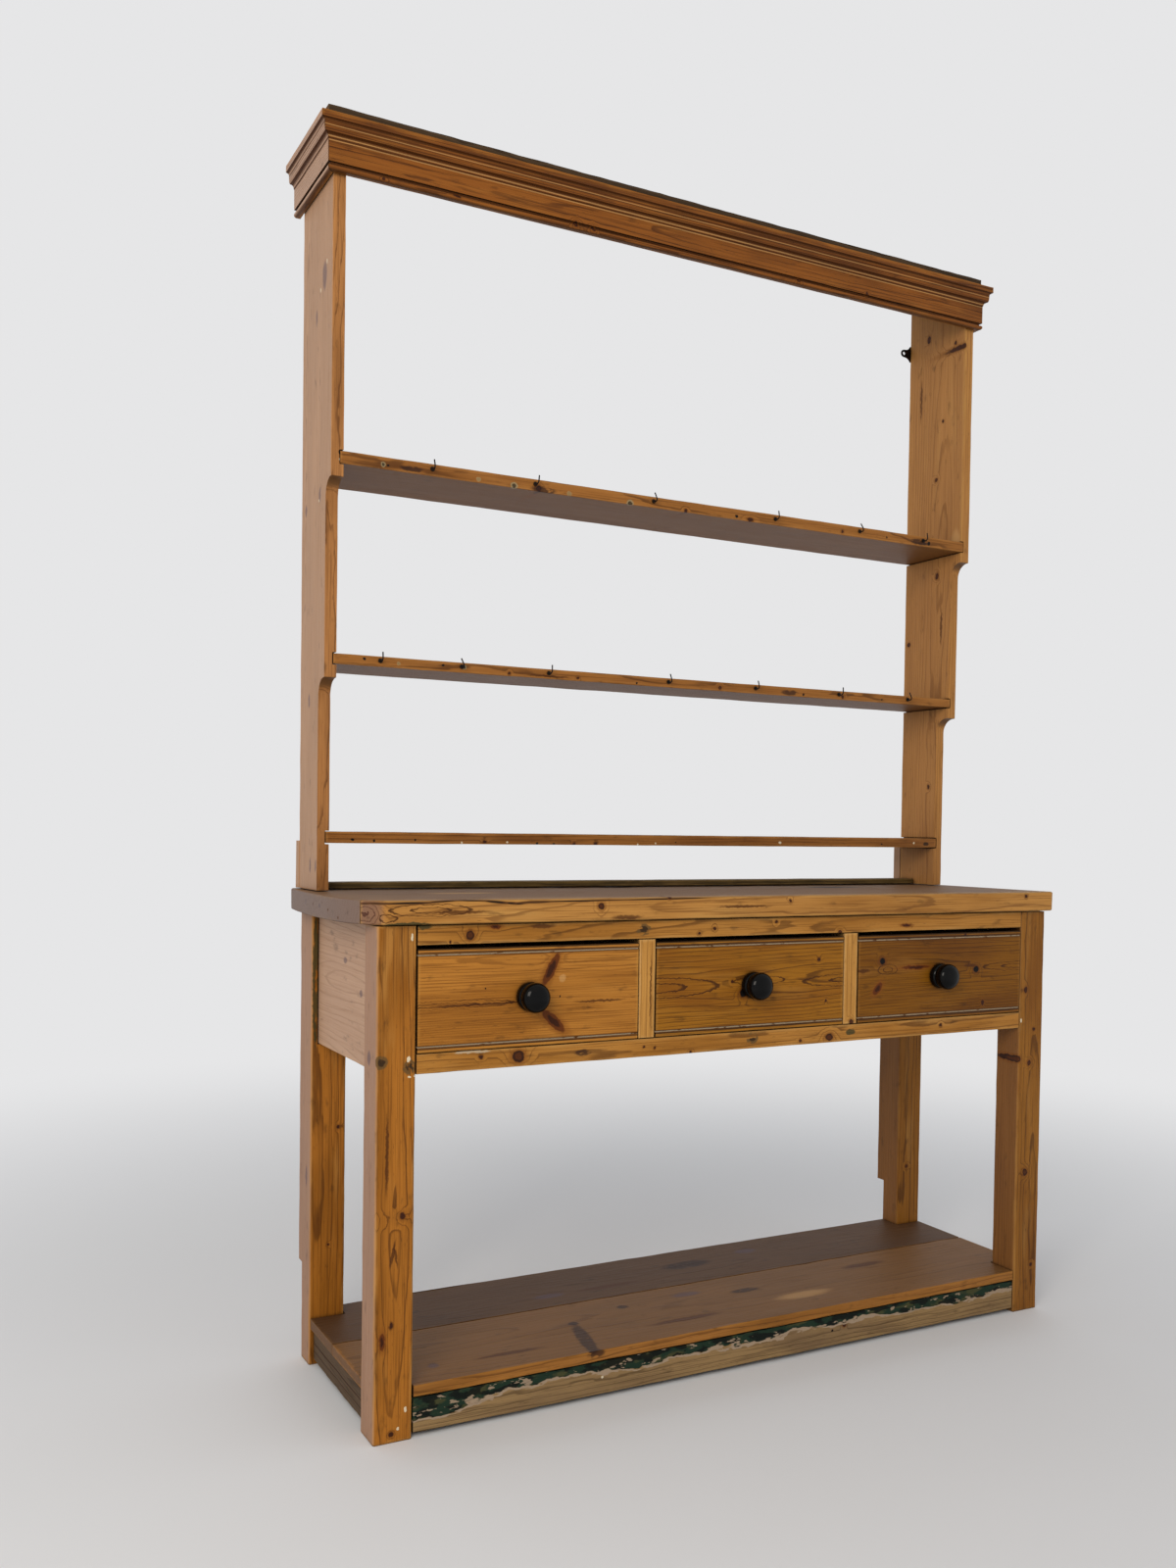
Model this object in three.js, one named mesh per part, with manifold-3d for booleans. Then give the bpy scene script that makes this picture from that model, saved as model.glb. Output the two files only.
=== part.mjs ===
// Welsh dresser in old pine: an open plate rack standing on a three-drawer base with a pot board.
// Millimetres, +X to the right, +Y to the wall, +Z up. The origin is on the floor, in the middle
// of the dresser's own box.
import * as THREE from 'three';
import { mergeVertices } from 'three/addons/utils/BufferGeometryUtils.js';
import Module from 'manifold-3d';

const wasm = await Module();
wasm.setup();

// Base frame
const BASE_SPAN = 1396;              // over the outer faces of the legs
const BASE_DEPTH = 420;              // front of the front legs to the back of the rear legs
const TABLE_HEIGHT = 840;            // floor to the upper face of the base top
const LEG_WIDTH = 65;
const FRONT_LEG_DEPTH = 62;
const REAR_LEG_DEPTH = 71;
const NOTCH_HEIGHT = 170;            // notch in the rear legs that clears a skirting board
const NOTCH_DEPTH = 23;

// Base top
const TOP_THICKNESS = 39;
const TOP_LEFT_OVERHANG = 23;
const TOP_RIGHT_OVERHANG = 14;
const TOP_FRONT_OVERHANG = 11;
const LIPPING_DEPTH = 38;            // front strip of the top, a board of its own
const LEFT_END_BOW = 15.5;            // how far the left end bows out past its overhang
const LEFT_END_TUCK = 5;             // how far its rear corner lies inside its overhang
const LEFT_BOW_SETBACK = 156;        // front edge of the top to the widest place of the bow
const LEFT_CORNER_WIDTH = 56;
const RIGHT_CORNER_RADIUS = 12;
const TOP_EDGE_RADIUS = 3;

// Drawer frame
const FRAME_HEIGHT = 232;            // underside of the base top to the underside of the lower rail
const TOP_RAIL_HEIGHT = 32;
const LOWER_RAIL_HEIGHT = 32;
const RAIL_DEPTH = 40;
const DIVIDER_WIDTH = 32;
const TENON_LENGTH = 28;
const TENON_THICKNESS = 12;
const TENON_SHOULDER = 5;
const SIDE_PANEL_THICKNESS = 18;
const SIDE_PANEL_RECESS = 13;        // set in from the outer faces of the legs
const PANEL_TONGUE = 8;              // how far a side panel runs into its legs
const BACK_BOARD_THICKNESS = 14;
const BACK_BOARD_SETBACK = 6;
const RUNNER_THICKNESS = 24;
const RUNNER_LEDGE = 16;             // width that carries each drawer side
const GUIDE_HEIGHT = 16;
const STOP_WIDTH = 60;
const STOP_DEPTH = 10;
const STOP_HEIGHT = 5;

// Drawers, left to right: each opening's share of the clear width between legs and dividers
const OPENING_SHARES = [0.3285, 0.3325, 0.339];
const DRAWER_SIDE_GAP = 1.5;
const DRAWER_TOP_GAP = 6;
const DRAWER_BACK_CLEARANCE = 35;    // back of a closed drawer to the back board
const DRAWER_FRONT_THICKNESS = 22;
const DRAWER_LAP = 9;                // wood left in front of the lapped drawer sides
const DRAWER_SIDE_THICKNESS = 11;
const DRAWER_BOTTOM_THICKNESS = 8;
const DRAWER_BOTTOM_RAISE = 8;
const DRAWER_SIDE_DROP = 6;          // sides and back stand this much lower than the front
const GROOVE_DEPTH = 5;
const BEAD_SETBACK = 8;              // edge of a drawer front to its bead line
const BEAD_GROOVE_WIDTH = 3;
const BEAD_GROOVE_DEPTH = 2;

// Turned knobs
const KNOB_OFFSETS = [-6, -2, -8];   // middle of each drawer front to its knob
const KNOB_DIAMETER = 49;
const KNOB_PROJECTION = 40;
const KNOB_COLLAR_DIAMETER = 48;
const KNOB_COLLAR_THICKNESS = 12;
const KNOB_NECK_DIAMETER = 42;
const KNOB_NECK_LENGTH = 3;
const KNOB_RIM_REACH = 25;           // drawer front to the widest part of the head
const SPIGOT_DIAMETER = 14;
const SPIGOT_LENGTH = 18;
const KNOB_FACETS = 32;
const KNOB_CURVE_STEPS = 4;          // rings to each quarter turn of its profile

// Pot board
const POT_BOARD_HEIGHT = 84;         // floor to its upper face
const POT_BOARD_THICKNESS = 20;
const POT_BOARD_FRONT_WIDTH = 218;
const POT_BOARD_END_SETBACK = 2;
const POT_RAIL_CLEARANCE = 7;        // floor to the front rail
const POT_SIDE_RAIL_CLEARANCE = 9;   // floor to the side and rear rails
const POT_RAIL_THICKNESS = 20;
const POT_RAIL_SETBACK = 1;
const POT_SIDE_RAIL_SETBACK = 8;

// Plate rack, measured from the base top
const RACK_LEFT_INSET = 11;          // left end of the base top to the left stile
const RACK_RIGHT_INSET = 31;         // right end of the base top to the right stile
const RACK_SETBACK = 29;             // back of the base to the back edges of the stiles
const STILE_THICKNESS = 22.5;
const STILE_HEIGHT = 1262;
const STILE_DEPTH_TOP = 172;
const STILE_DEPTH_MIDDLE = 142;
const STILE_DEPTH_FOOT = 108;
const SHELF_TOP_HEIGHT = 730;
const SHELF_MIDDLE_HEIGHT = 401;
const SHELF_LOW_HEIGHT = 102;
const SHELF_TOP_THICKNESS = 22;
const SHELF_MIDDLE_THICKNESS = 19;
const SHELF_LOW_THICKNESS = 21;
const SHELF_BACK_SETBACK = 2;
const HOUSING_DEPTH = 7;             // how far the shelves run into the stiles
const STEP_DROP_TOP = 44;            // shelf's upper face down to the nose of the step below it
const STEP_DROP_MIDDLE = 42.5;
const STEP_HOLLOW_HEIGHT = 28;
const STEP_NOSE = 5;
const STEP_NOSE_RADIUS = 2.5;
const TIE_RAIL_DEPTH = 46;
const TIE_RAIL_HEIGHT = 12;
const PACKER_HEIGHT = 85;            // blocks behind the stile feet that reach the wall
const PACKER_SETBACK = 6;

// Cornice, from its foot up: heights, and how far each member stands out from the stiles
const CORNICE_BEAD_RADIUS = 5;
const CORNICE_BEAD_PROJECTION = 12.5;
const CORNICE_QUIRK_HEIGHT = 3;      // groove above the bead
const CORNICE_FASCIA_HEIGHT = 36;
const CORNICE_FASCIA_PROJECTION = 12;
const CORNICE_COVE_HEIGHT = 7;
const CORNICE_COVE_FOOT_PROJECTION = 13;
const CORNICE_COVE_PROJECTION = 18.5;
const CORNICE_OVOLO_HEIGHT = 13;
const CORNICE_OVOLO_PROJECTION = 21.5;
const CORNICE_HOLLOW_HEIGHT = 5.6;
const CORNICE_FILLET_HEIGHT = 12;
const CORNICE_PROJECTION = 27;
const CORNICE_RETURN_OVERRUN = 21;   // returns run past the stiles towards the wall
const CAP_THICKNESS = 20;
const CAP_FRONT_PROJECTION = 9;
const CAP_END_PROJECTION = 12;

// Hanging plate behind the right stile
const PLATE_HEIGHT = 34;
const PLATE_WIDTH = 16;
const PLATE_THICKNESS = 2.5;
const PLATE_DROP = 88;               // top of the stile down to the middle of the plate
const EYE_DIAMETER = 16;
const EYE_HOLE_DIAMETER = 7;
const EYE_REACH = 17;                // edge of the stile to the middle of the eye

// Fits and edges
const FIT = 0.3;                     // gap between pieces that touch
const ARRIS = 1.5;                   // chamfer on the long edges of the boards
const OVERRUN = 6;                   // how far a cutter runs out of the wood it cuts
const CURVE_STEPS = 8;

// Sizes that follow
const topUnderside = TABLE_HEIGHT - TOP_THICKNESS;
const frameUnderside = topUnderside - FRAME_HEIGHT;
const openingHeight = FRAME_HEIGHT - TOP_RAIL_HEIGHT - LOWER_RAIL_HEIGHT;
const openingFloor = frameUnderside + LOWER_RAIL_HEIGHT;
const legLeft = -BASE_SPAN / 2;
const legRight = BASE_SPAN / 2;
const innerLeft = legLeft + LEG_WIDTH;
const innerRight = legRight - LEG_WIDTH;
const clearWidth = innerRight - innerLeft - 2 * DIVIDER_WIDTH;
const topLeft = legLeft - TOP_LEFT_OVERHANG;
const topRight = legRight + TOP_RIGHT_OVERHANG;
const topFront = -TOP_FRONT_OVERHANG;
const bowLeft = topLeft - LEFT_END_BOW;
const bowMiddle = topFront + LEFT_BOW_SETBACK;
const backBoardFront = BASE_DEPTH - BACK_BOARD_SETBACK - BACK_BOARD_THICKNESS;
const potRailTop = POT_BOARD_HEIGHT - POT_BOARD_THICKNESS - FIT;
const potBoardBack = BASE_DEPTH - NOTCH_DEPTH;
const rackLeft = topLeft + RACK_LEFT_INSET;
const rackSpan = topRight - RACK_RIGHT_INSET - rackLeft;
const rackBack = BASE_DEPTH - RACK_SETBACK;
const fasciaFoot = 2 * CORNICE_BEAD_RADIUS + CORNICE_QUIRK_HEIGHT;
const coveFoot = fasciaFoot + CORNICE_FASCIA_HEIGHT;
const ovoloFoot = coveFoot + CORNICE_COVE_HEIGHT;
const hollowFoot = ovoloFoot + CORNICE_OVOLO_HEIGHT;
const filletFoot = hollowFoot + CORNICE_HOLLOW_HEIGHT;
const corniceHeight = filletFoot + CORNICE_FILLET_HEIGHT;
const corniceFoot = STILE_HEIGHT - corniceHeight;
const drawerLength = backBoardFront - DRAWER_BACK_CLEARANCE;
const drawerHeight = openingHeight - DRAWER_TOP_GAP - FIT;
const drawerBoxHeight = drawerHeight - DRAWER_SIDE_DROP;

// Finishes
const pine = { color: '#a8763c', roughness: 0.5, metalness: 0 };
const scrubbedPine = { color: '#6b4a33', roughness: 0.6, metalness: 0 };
const darkPine = { color: '#6f4420', roughness: 0.5, metalness: 0 };
const innerPine = { color: '#b98d56', roughness: 0.7, metalness: 0 };
const weatheredPine = { color: '#6d5a3c', roughness: 0.8, metalness: 0 };
const ebonised = { color: '#100e0d', roughness: 0.2, metalness: 0 };
const iron = { color: '#1d1b1a', roughness: 0.5, metalness: 0.9 };

/** A board from its own corner: width along X, depth along Y, height along Z. */
function board(width, depth, height, grain = 'x', arris = ARRIS) {
  const sizes = { x: [depth, height, width], y: [height, width, depth], z: [width, depth, height] };
  const [across, up, length] = sizes[grain];
  const edge = Math.min(arris, across / 4, up / 4);
  const outline = new THREE.Shape();
  outline.moveTo(edge, 0);
  outline.lineTo(across - edge, 0);
  outline.lineTo(across, edge);
  outline.lineTo(across, up - edge);
  outline.lineTo(across - edge, up);
  outline.lineTo(edge, up);
  outline.lineTo(0, up - edge);
  outline.lineTo(0, edge);
  outline.closePath();
  return turned(extrude(outline, length), grain);
}

/** A plain block between two corners, used for tenons and as a cutter. */
function block([x0, y0, z0], [x1, y1, z1]) {
  const geometry = new THREE.BoxGeometry(x1 - x0, y1 - y0, z1 - z0);
  return geometry.translate((x0 + x1) / 2, (y0 + y1) / 2, (z0 + z1) / 2);
}

function extrude(outline, length) {
  const options = { depth: length, bevelEnabled: false, curveSegments: CURVE_STEPS };
  return new THREE.ExtrudeGeometry(outline, options);
}

/** Lays an extrusion so that its length follows an axis; the outline's plane follows in turn. */
function turned(geometry, grain) {
  const x = new THREE.Vector3(1, 0, 0);
  const y = new THREE.Vector3(0, 1, 0);
  const z = new THREE.Vector3(0, 0, 1);
  const bases = { x: [y, z, x], y: [z, x, y], z: [x, y, z] };
  return geometry.applyMatrix4(new THREE.Matrix4().makeBasis(...bases[grain]));
}

function solidOf(geometry) {
  const plain = geometry.clone();
  plain.deleteAttribute('normal');
  plain.deleteAttribute('uv');
  const merged = mergeVertices(plain);
  return new wasm.Manifold(new wasm.Mesh({
    numProp: 3,
    vertProperties: Float32Array.from(merged.attributes.position.array),
    triVerts: Uint32Array.from(merged.index.array),
  }));
}

function geometryOf(solid) {
  const mesh = solid.getMesh();
  const geometry = new THREE.BufferGeometry();
  geometry.setAttribute('position', new THREE.BufferAttribute(Float32Array.from(mesh.vertProperties), 3));
  geometry.setIndex(new THREE.BufferAttribute(Uint32Array.from(mesh.triVerts), 1));
  const faceted = geometry.toNonIndexed();
  faceted.computeVertexNormals();
  return faceted;
}

function cut(geometry, ...cutters) {
  return geometryOf(cutters.reduce((solid, cutter) => solid.subtract(solidOf(cutter)), solidOf(geometry)));
}

function join(geometry, ...others) {
  return geometryOf(others.reduce((solid, other) => solid.add(solidOf(other)), solidOf(geometry)));
}

function common(geometry, other) {
  return geometryOf(solidOf(geometry).intersect(solidOf(other)));
}

function place(group, name, geometry, finish, x = 0, y = 0, z = 0) {
  const mesh = new THREE.Mesh(geometry, new THREE.MeshStandardMaterial(finish));
  mesh.name = name;
  mesh.position.set(x, y, z);
  group.add(mesh);
}

// Base: legs

const legHeight = topUnderside - FIT;
const tenonRoom = {
  length: TENON_LENGTH + FIT,
  front: (RAIL_DEPTH - TENON_THICKNESS) / 2 - FIT,
  back: (RAIL_DEPTH + TENON_THICKNESS) / 2 + FIT,
};

/** Mortise for a front rail, cut into the inner face of a leg. */
function mortise(side, floor, height) {
  const inner = side === 'left' ? LEG_WIDTH + OVERRUN : -OVERRUN;
  const end = side === 'left' ? LEG_WIDTH - tenonRoom.length : tenonRoom.length;
  return block(
    [Math.min(inner, end), tenonRoom.front, floor + TENON_SHOULDER - FIT],
    [Math.max(inner, end), tenonRoom.back, floor + height - TENON_SHOULDER + FIT],
  );
}

/** Groove for a side panel: in the back of a front leg, or in the front of a rear leg. */
function panelGroove(side, row, legDepth) {
  const outer = side === 'left' ? SIDE_PANEL_RECESS - FIT : LEG_WIDTH - SIDE_PANEL_RECESS + FIT;
  const width = SIDE_PANEL_THICKNESS + 2 * FIT;
  const inner = side === 'left' ? outer + width : outer - width;
  const near = row === 'front' ? legDepth - PANEL_TONGUE - FIT : -OVERRUN;
  const far = row === 'front' ? legDepth + OVERRUN : PANEL_TONGUE + FIT;
  return block(
    [Math.min(outer, inner), near, frameUnderside - FIT],
    [Math.max(outer, inner), far, legHeight + OVERRUN],
  );
}

const base = new THREE.Group();
for (const side of ['left', 'right']) {
  const x = side === 'left' ? legLeft : innerRight;
  const frontLeg = cut(
    board(LEG_WIDTH, FRONT_LEG_DEPTH, legHeight, 'z', 2 * ARRIS),
    mortise(side, frameUnderside, LOWER_RAIL_HEIGHT),
    mortise(side, legHeight - TOP_RAIL_HEIGHT, TOP_RAIL_HEIGHT),
    panelGroove(side, 'front', FRONT_LEG_DEPTH),
  );
  const rearLeg = cut(
    board(LEG_WIDTH, REAR_LEG_DEPTH, legHeight, 'z', 2 * ARRIS),
    panelGroove(side, 'rear', REAR_LEG_DEPTH),
    block(
      [-OVERRUN, REAR_LEG_DEPTH - NOTCH_DEPTH, -OVERRUN],
      [LEG_WIDTH + OVERRUN, REAR_LEG_DEPTH + OVERRUN, NOTCH_HEIGHT],
    ),
  );
  place(base, `leg_front_${side}`, frontLeg, pine, x, 0, 0);
  place(base, `leg_rear_${side}`, rearLeg, pine, x, BASE_DEPTH - REAR_LEG_DEPTH, 0);
}

// Base: drawer frame

/** A front rail between the legs, with a tenon at each end. */
function tenonedRail(height) {
  const length = innerRight - innerLeft - 2 * FIT;
  const front = (RAIL_DEPTH - TENON_THICKNESS) / 2;
  const tenons = [[-TENON_LENGTH, OVERRUN], [length - OVERRUN, length + TENON_LENGTH]].map(([x0, x1]) => (
    block([x0, front, TENON_SHOULDER], [x1, front + TENON_THICKNESS, height - TENON_SHOULDER])
  ));
  return join(board(length, RAIL_DEPTH, height), ...tenons);
}

const topRailFloor = legHeight - TOP_RAIL_HEIGHT;
place(base, 'rail_front_top', tenonedRail(TOP_RAIL_HEIGHT), pine, innerLeft + FIT, 0, topRailFloor);
place(base, 'rail_front_lower', tenonedRail(LOWER_RAIL_HEIGHT), pine, innerLeft + FIT, 0, frameUnderside);

const panelLength = BASE_DEPTH - FRONT_LEG_DEPTH - REAR_LEG_DEPTH + 2 * PANEL_TONGUE;
for (const side of ['left', 'right']) {
  const x = side === 'left'
    ? legLeft + SIDE_PANEL_RECESS
    : legRight - SIDE_PANEL_RECESS - SIDE_PANEL_THICKNESS;
  const panel = board(SIDE_PANEL_THICKNESS, panelLength, legHeight - frameUnderside, 'y');
  place(base, `side_panel_${side}`, panel, pine, x, FRONT_LEG_DEPTH - PANEL_TONGUE, frameUnderside);
}

const backBoard = board(innerRight - innerLeft - 2 * FIT, BACK_BOARD_THICKNESS, legHeight - frameUnderside);
place(base, 'back_board', backBoard, innerPine, innerLeft + FIT, backBoardFront, frameUnderside);

// Base: drawer openings, dividers, runners and stops

const openings = [];
let openingLeft = innerLeft;
for (const share of OPENING_SHARES) {
  openings.push({ left: openingLeft, width: share * clearWidth });
  openingLeft += share * clearWidth + DIVIDER_WIDTH;
}

const dividerHeight = legHeight - TOP_RAIL_HEIGHT - openingFloor - 2 * FIT;
for (const [index, name] of ['left', 'right'].entries()) {
  const divider = board(DIVIDER_WIDTH, RAIL_DEPTH, dividerHeight, 'z');
  const x = openings[index + 1].left - DIVIDER_WIDTH;
  place(base, `divider_${name}`, divider, pine, x, 0, openingFloor + FIT);
}

const runnerFront = RAIL_DEPTH + FIT;
const runnerLength = backBoardFront - FIT - runnerFront;

/** Runner with ledges for the drawer sides and a guide between two drawers or beside one. */
function runner(leftLedge, guideWidth, rightLedge) {
  const width = leftLedge + guideWidth + rightLedge;
  const guideTop = RUNNER_THICKNESS + GUIDE_HEIGHT;
  return join(
    board(width, runnerLength, RUNNER_THICKNESS, 'y', ARRIS / 2),
    block([leftLedge, 0, RUNNER_THICKNESS / 2], [leftLedge + guideWidth, runnerLength, guideTop]),
  );
}

const runnerFloor = openingFloor - RUNNER_THICKNESS - FIT;
const endGuideWidth = LEG_WIDTH - SIDE_PANEL_RECESS - SIDE_PANEL_THICKNESS - FIT;
const endRunnerNotchFront = BASE_DEPTH - REAR_LEG_DEPTH - runnerFront - FIT;

/** End runners stand against a side panel, so they are cut back round the two legs. */
function endRunner(side) {
  const whole = side === 'left'
    ? runner(0, endGuideWidth, RUNNER_LEDGE)
    : runner(RUNNER_LEDGE, endGuideWidth, 0);
  const outer = side === 'left' ? -OVERRUN : RUNNER_LEDGE + endGuideWidth + OVERRUN;
  const legFace = side === 'left' ? endGuideWidth + FIT : RUNNER_LEDGE - FIT;
  const x0 = Math.min(outer, legFace);
  const x1 = Math.max(outer, legFace);
  const top = RUNNER_THICKNESS + GUIDE_HEIGHT + OVERRUN;
  return cut(
    whole,
    block([x0, -OVERRUN, -OVERRUN], [x1, FRONT_LEG_DEPTH + FIT - runnerFront, top]),
    block([x0, endRunnerNotchFront, -OVERRUN], [x1, runnerLength + OVERRUN, top]),
  );
}

const leftRunnerX = innerLeft - endGuideWidth;
const rightRunnerX = innerRight - RUNNER_LEDGE;
place(base, 'runner_left', endRunner('left'), innerPine, leftRunnerX, runnerFront, runnerFloor);
place(base, 'runner_right', endRunner('right'), innerPine, rightRunnerX, runnerFront, runnerFloor);
for (const [index, name] of ['middle_left', 'middle_right'].entries()) {
  const middleRunner = runner(RUNNER_LEDGE, DIVIDER_WIDTH, RUNNER_LEDGE);
  const x = openings[index + 1].left - DIVIDER_WIDTH - RUNNER_LEDGE;
  place(base, `runner_${name}`, middleRunner, innerPine, x, runnerFront, runnerFloor);
}

for (const [index, name] of ['left', 'middle', 'right'].entries()) {
  const stop = board(STOP_WIDTH, STOP_DEPTH, STOP_HEIGHT, 'x', ARRIS / 2);
  const x = openings[index].left + (openings[index].width - STOP_WIDTH) / 2;
  place(base, `drawer_stop_${name}`, stop, innerPine, x, DRAWER_FRONT_THICKNESS + FIT, openingFloor);
}

// Base top: one outline with a bowed left end, split into the main board and its lipping

function topSlab() {
  const outline = new THREE.Shape();
  outline.moveTo(topLeft + LEFT_END_TUCK, BASE_DEPTH);
  outline.quadraticCurveTo(bowLeft, (BASE_DEPTH + bowMiddle) / 2, bowLeft, bowMiddle);
  outline.absellipse(bowLeft + LEFT_CORNER_WIDTH, bowMiddle, LEFT_CORNER_WIDTH, LEFT_BOW_SETBACK,
    Math.PI, 1.5 * Math.PI, false);
  outline.lineTo(topRight - RIGHT_CORNER_RADIUS, topFront);
  outline.absarc(topRight - RIGHT_CORNER_RADIUS, topFront + RIGHT_CORNER_RADIUS, RIGHT_CORNER_RADIUS,
    1.5 * Math.PI, 2 * Math.PI, false);
  outline.lineTo(topRight, BASE_DEPTH);
  outline.closePath();
  const slab = new THREE.ExtrudeGeometry(outline, {
    depth: TOP_THICKNESS - 2 * TOP_EDGE_RADIUS,
    bevelThickness: TOP_EDGE_RADIUS,
    bevelSize: TOP_EDGE_RADIUS,
    bevelOffset: -TOP_EDGE_RADIUS,
    bevelSegments: 2,
    curveSegments: 2 * CURVE_STEPS,
  });
  return slab.translate(0, 0, TOP_EDGE_RADIUS);
}

const lippingBack = topFront + LIPPING_DEPTH;
const beyondLeft = bowLeft - OVERRUN;
const beyondRight = topRight + OVERRUN;
const mainBoard = common(topSlab(), block(
  [beyondLeft, lippingBack + FIT, -OVERRUN],
  [beyondRight, BASE_DEPTH + OVERRUN, TOP_THICKNESS + OVERRUN],
));
const lipping = common(topSlab(), block(
  [beyondLeft, topFront - OVERRUN, -OVERRUN],
  [beyondRight, lippingBack, TOP_THICKNESS + OVERRUN],
));
place(base, 'base_top', mainBoard, scrubbedPine, 0, 0, topUnderside);
place(base, 'base_top_lipping', lipping, pine, 0, 0, topUnderside);

// Pot board: two boards notched round the legs, on four rails

const potLeft = legLeft + POT_BOARD_END_SETBACK;
const potRight = legRight - POT_BOARD_END_SETBACK;
const potFloor = POT_BOARD_HEIGHT - POT_BOARD_THICKNESS;

function notchedBoard(front, back, legFront, legBack) {
  const whole = board(potRight - potLeft, back - front, POT_BOARD_THICKNESS);
  const ends = [
    [-OVERRUN, innerLeft + FIT - potLeft],
    [innerRight - FIT - potLeft, potRight - potLeft + OVERRUN],
  ];
  return cut(whole, ...ends.map(([x0, x1]) => (
    block([x0, legFront - front, -OVERRUN], [x1, legBack - front, POT_BOARD_THICKNESS + OVERRUN])
  )));
}

const frontPotBoard = notchedBoard(0, POT_BOARD_FRONT_WIDTH, -OVERRUN, FRONT_LEG_DEPTH + FIT);
const rearPotFront = POT_BOARD_FRONT_WIDTH + FIT;
const rearLegFace = BASE_DEPTH - REAR_LEG_DEPTH - FIT;
const rearPotBoard = notchedBoard(rearPotFront, potBoardBack, rearLegFace, potBoardBack + OVERRUN);
place(base, 'pot_board_front', frontPotBoard, scrubbedPine, potLeft, 0, potFloor);
place(base, 'pot_board_rear', rearPotBoard, scrubbedPine, potLeft, rearPotFront, potFloor);

const potRailLength = innerRight - innerLeft - 2 * FIT;
const frontPotRail = board(potRailLength, POT_RAIL_THICKNESS, potRailTop - POT_RAIL_CLEARANCE);
place(base, 'pot_rail_front', frontPotRail, weatheredPine,
  innerLeft + FIT, POT_RAIL_SETBACK, POT_RAIL_CLEARANCE);
const rearPotRail = board(potRailLength, POT_RAIL_THICKNESS, potRailTop - POT_SIDE_RAIL_CLEARANCE);
place(base, 'pot_rail_rear', rearPotRail, weatheredPine,
  innerLeft + FIT, potBoardBack - POT_RAIL_SETBACK - POT_RAIL_THICKNESS, POT_SIDE_RAIL_CLEARANCE);
for (const side of ['left', 'right']) {
  const x = side === 'left'
    ? legLeft + POT_SIDE_RAIL_SETBACK
    : legRight - POT_SIDE_RAIL_SETBACK - POT_RAIL_THICKNESS;
  const length = BASE_DEPTH - FRONT_LEG_DEPTH - REAR_LEG_DEPTH - 2 * FIT;
  const rail = board(POT_RAIL_THICKNESS, length, potRailTop - POT_SIDE_RAIL_CLEARANCE, 'y');
  place(base, `pot_rail_${side}`, rail, weatheredPine, x, FRONT_LEG_DEPTH + FIT, POT_SIDE_RAIL_CLEARANCE);
}

// Drawers: each in a group whose origin is the lower left front corner of its opening

const boxFloor = FIT;
const panelFloor = boxFloor + DRAWER_BOTTOM_RAISE;
const panelTop = panelFloor + DRAWER_BOTTOM_THICKNESS;

/** Groove that takes the drawer bottom, as a cutter between two X values and two Y values. */
function bottomGroove(x0, x1, y0, y1) {
  return block([x0, y0, panelFloor - FIT], [x1, y1, panelTop + FIT]);
}

/** Drawer front: a bead line near its upper and lower edges, lapped at both ends for the sides. */
function drawerFront(width, knobX) {
  const outline = new THREE.Shape();
  const top = drawerHeight;
  const lower = BEAD_SETBACK;
  const upper = top - BEAD_SETBACK;
  outline.moveTo(DRAWER_FRONT_THICKNESS, 0);
  outline.lineTo(DRAWER_FRONT_THICKNESS, top);
  outline.lineTo(ARRIS, top);
  outline.lineTo(0, top - ARRIS);
  outline.lineTo(0, upper);
  outline.lineTo(BEAD_GROOVE_DEPTH, upper - BEAD_GROOVE_WIDTH / 2);
  outline.lineTo(0, upper - BEAD_GROOVE_WIDTH);
  outline.lineTo(0, lower + BEAD_GROOVE_WIDTH);
  outline.lineTo(BEAD_GROOVE_DEPTH, lower + BEAD_GROOVE_WIDTH / 2);
  outline.lineTo(0, lower);
  outline.lineTo(0, ARRIS);
  outline.lineTo(ARRIS, 0);
  outline.closePath();
  const whole = turned(extrude(outline, width), 'x').translate(0, 0, boxFloor);
  const lapX = DRAWER_SIDE_THICKNESS + FIT;
  const lapTop = boxFloor + drawerBoxHeight + FIT;
  const laps = [[-OVERRUN, lapX], [width - lapX, width + OVERRUN]].map(([x0, x1]) => (
    block([x0, DRAWER_LAP, -OVERRUN], [x1, DRAWER_FRONT_THICKNESS + OVERRUN, lapTop])
  ));
  const groove = bottomGroove(-OVERRUN, width + OVERRUN,
    DRAWER_FRONT_THICKNESS - GROOVE_DEPTH - FIT, DRAWER_FRONT_THICKNESS + OVERRUN);
  const bore = new THREE.CylinderGeometry(SPIGOT_DIAMETER / 2 + FIT, SPIGOT_DIAMETER / 2 + FIT,
    2 * DRAWER_FRONT_THICKNESS, KNOB_FACETS / 2);
  bore.translate(knobX, DRAWER_FRONT_THICKNESS / 2, boxFloor + drawerHeight / 2);
  return cut(whole, ...laps, groove, bore);
}

/** Points on part of an oval in a lathe profile, between two angles in quarter turns. */
function oval(centreX, centreY, reachX, reachY, fromQuarter, toQuarter) {
  const steps = Math.abs(toQuarter - fromQuarter) * KNOB_CURVE_STEPS;
  return Array.from({ length: steps + 1 }, (_, step) => {
    const angle = (fromQuarter + ((toQuarter - fromQuarter) * step) / steps) * (Math.PI / 2);
    return new THREE.Vector2(centreX + reachX * Math.cos(angle), centreY + reachY * Math.sin(angle));
  });
}

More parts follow.
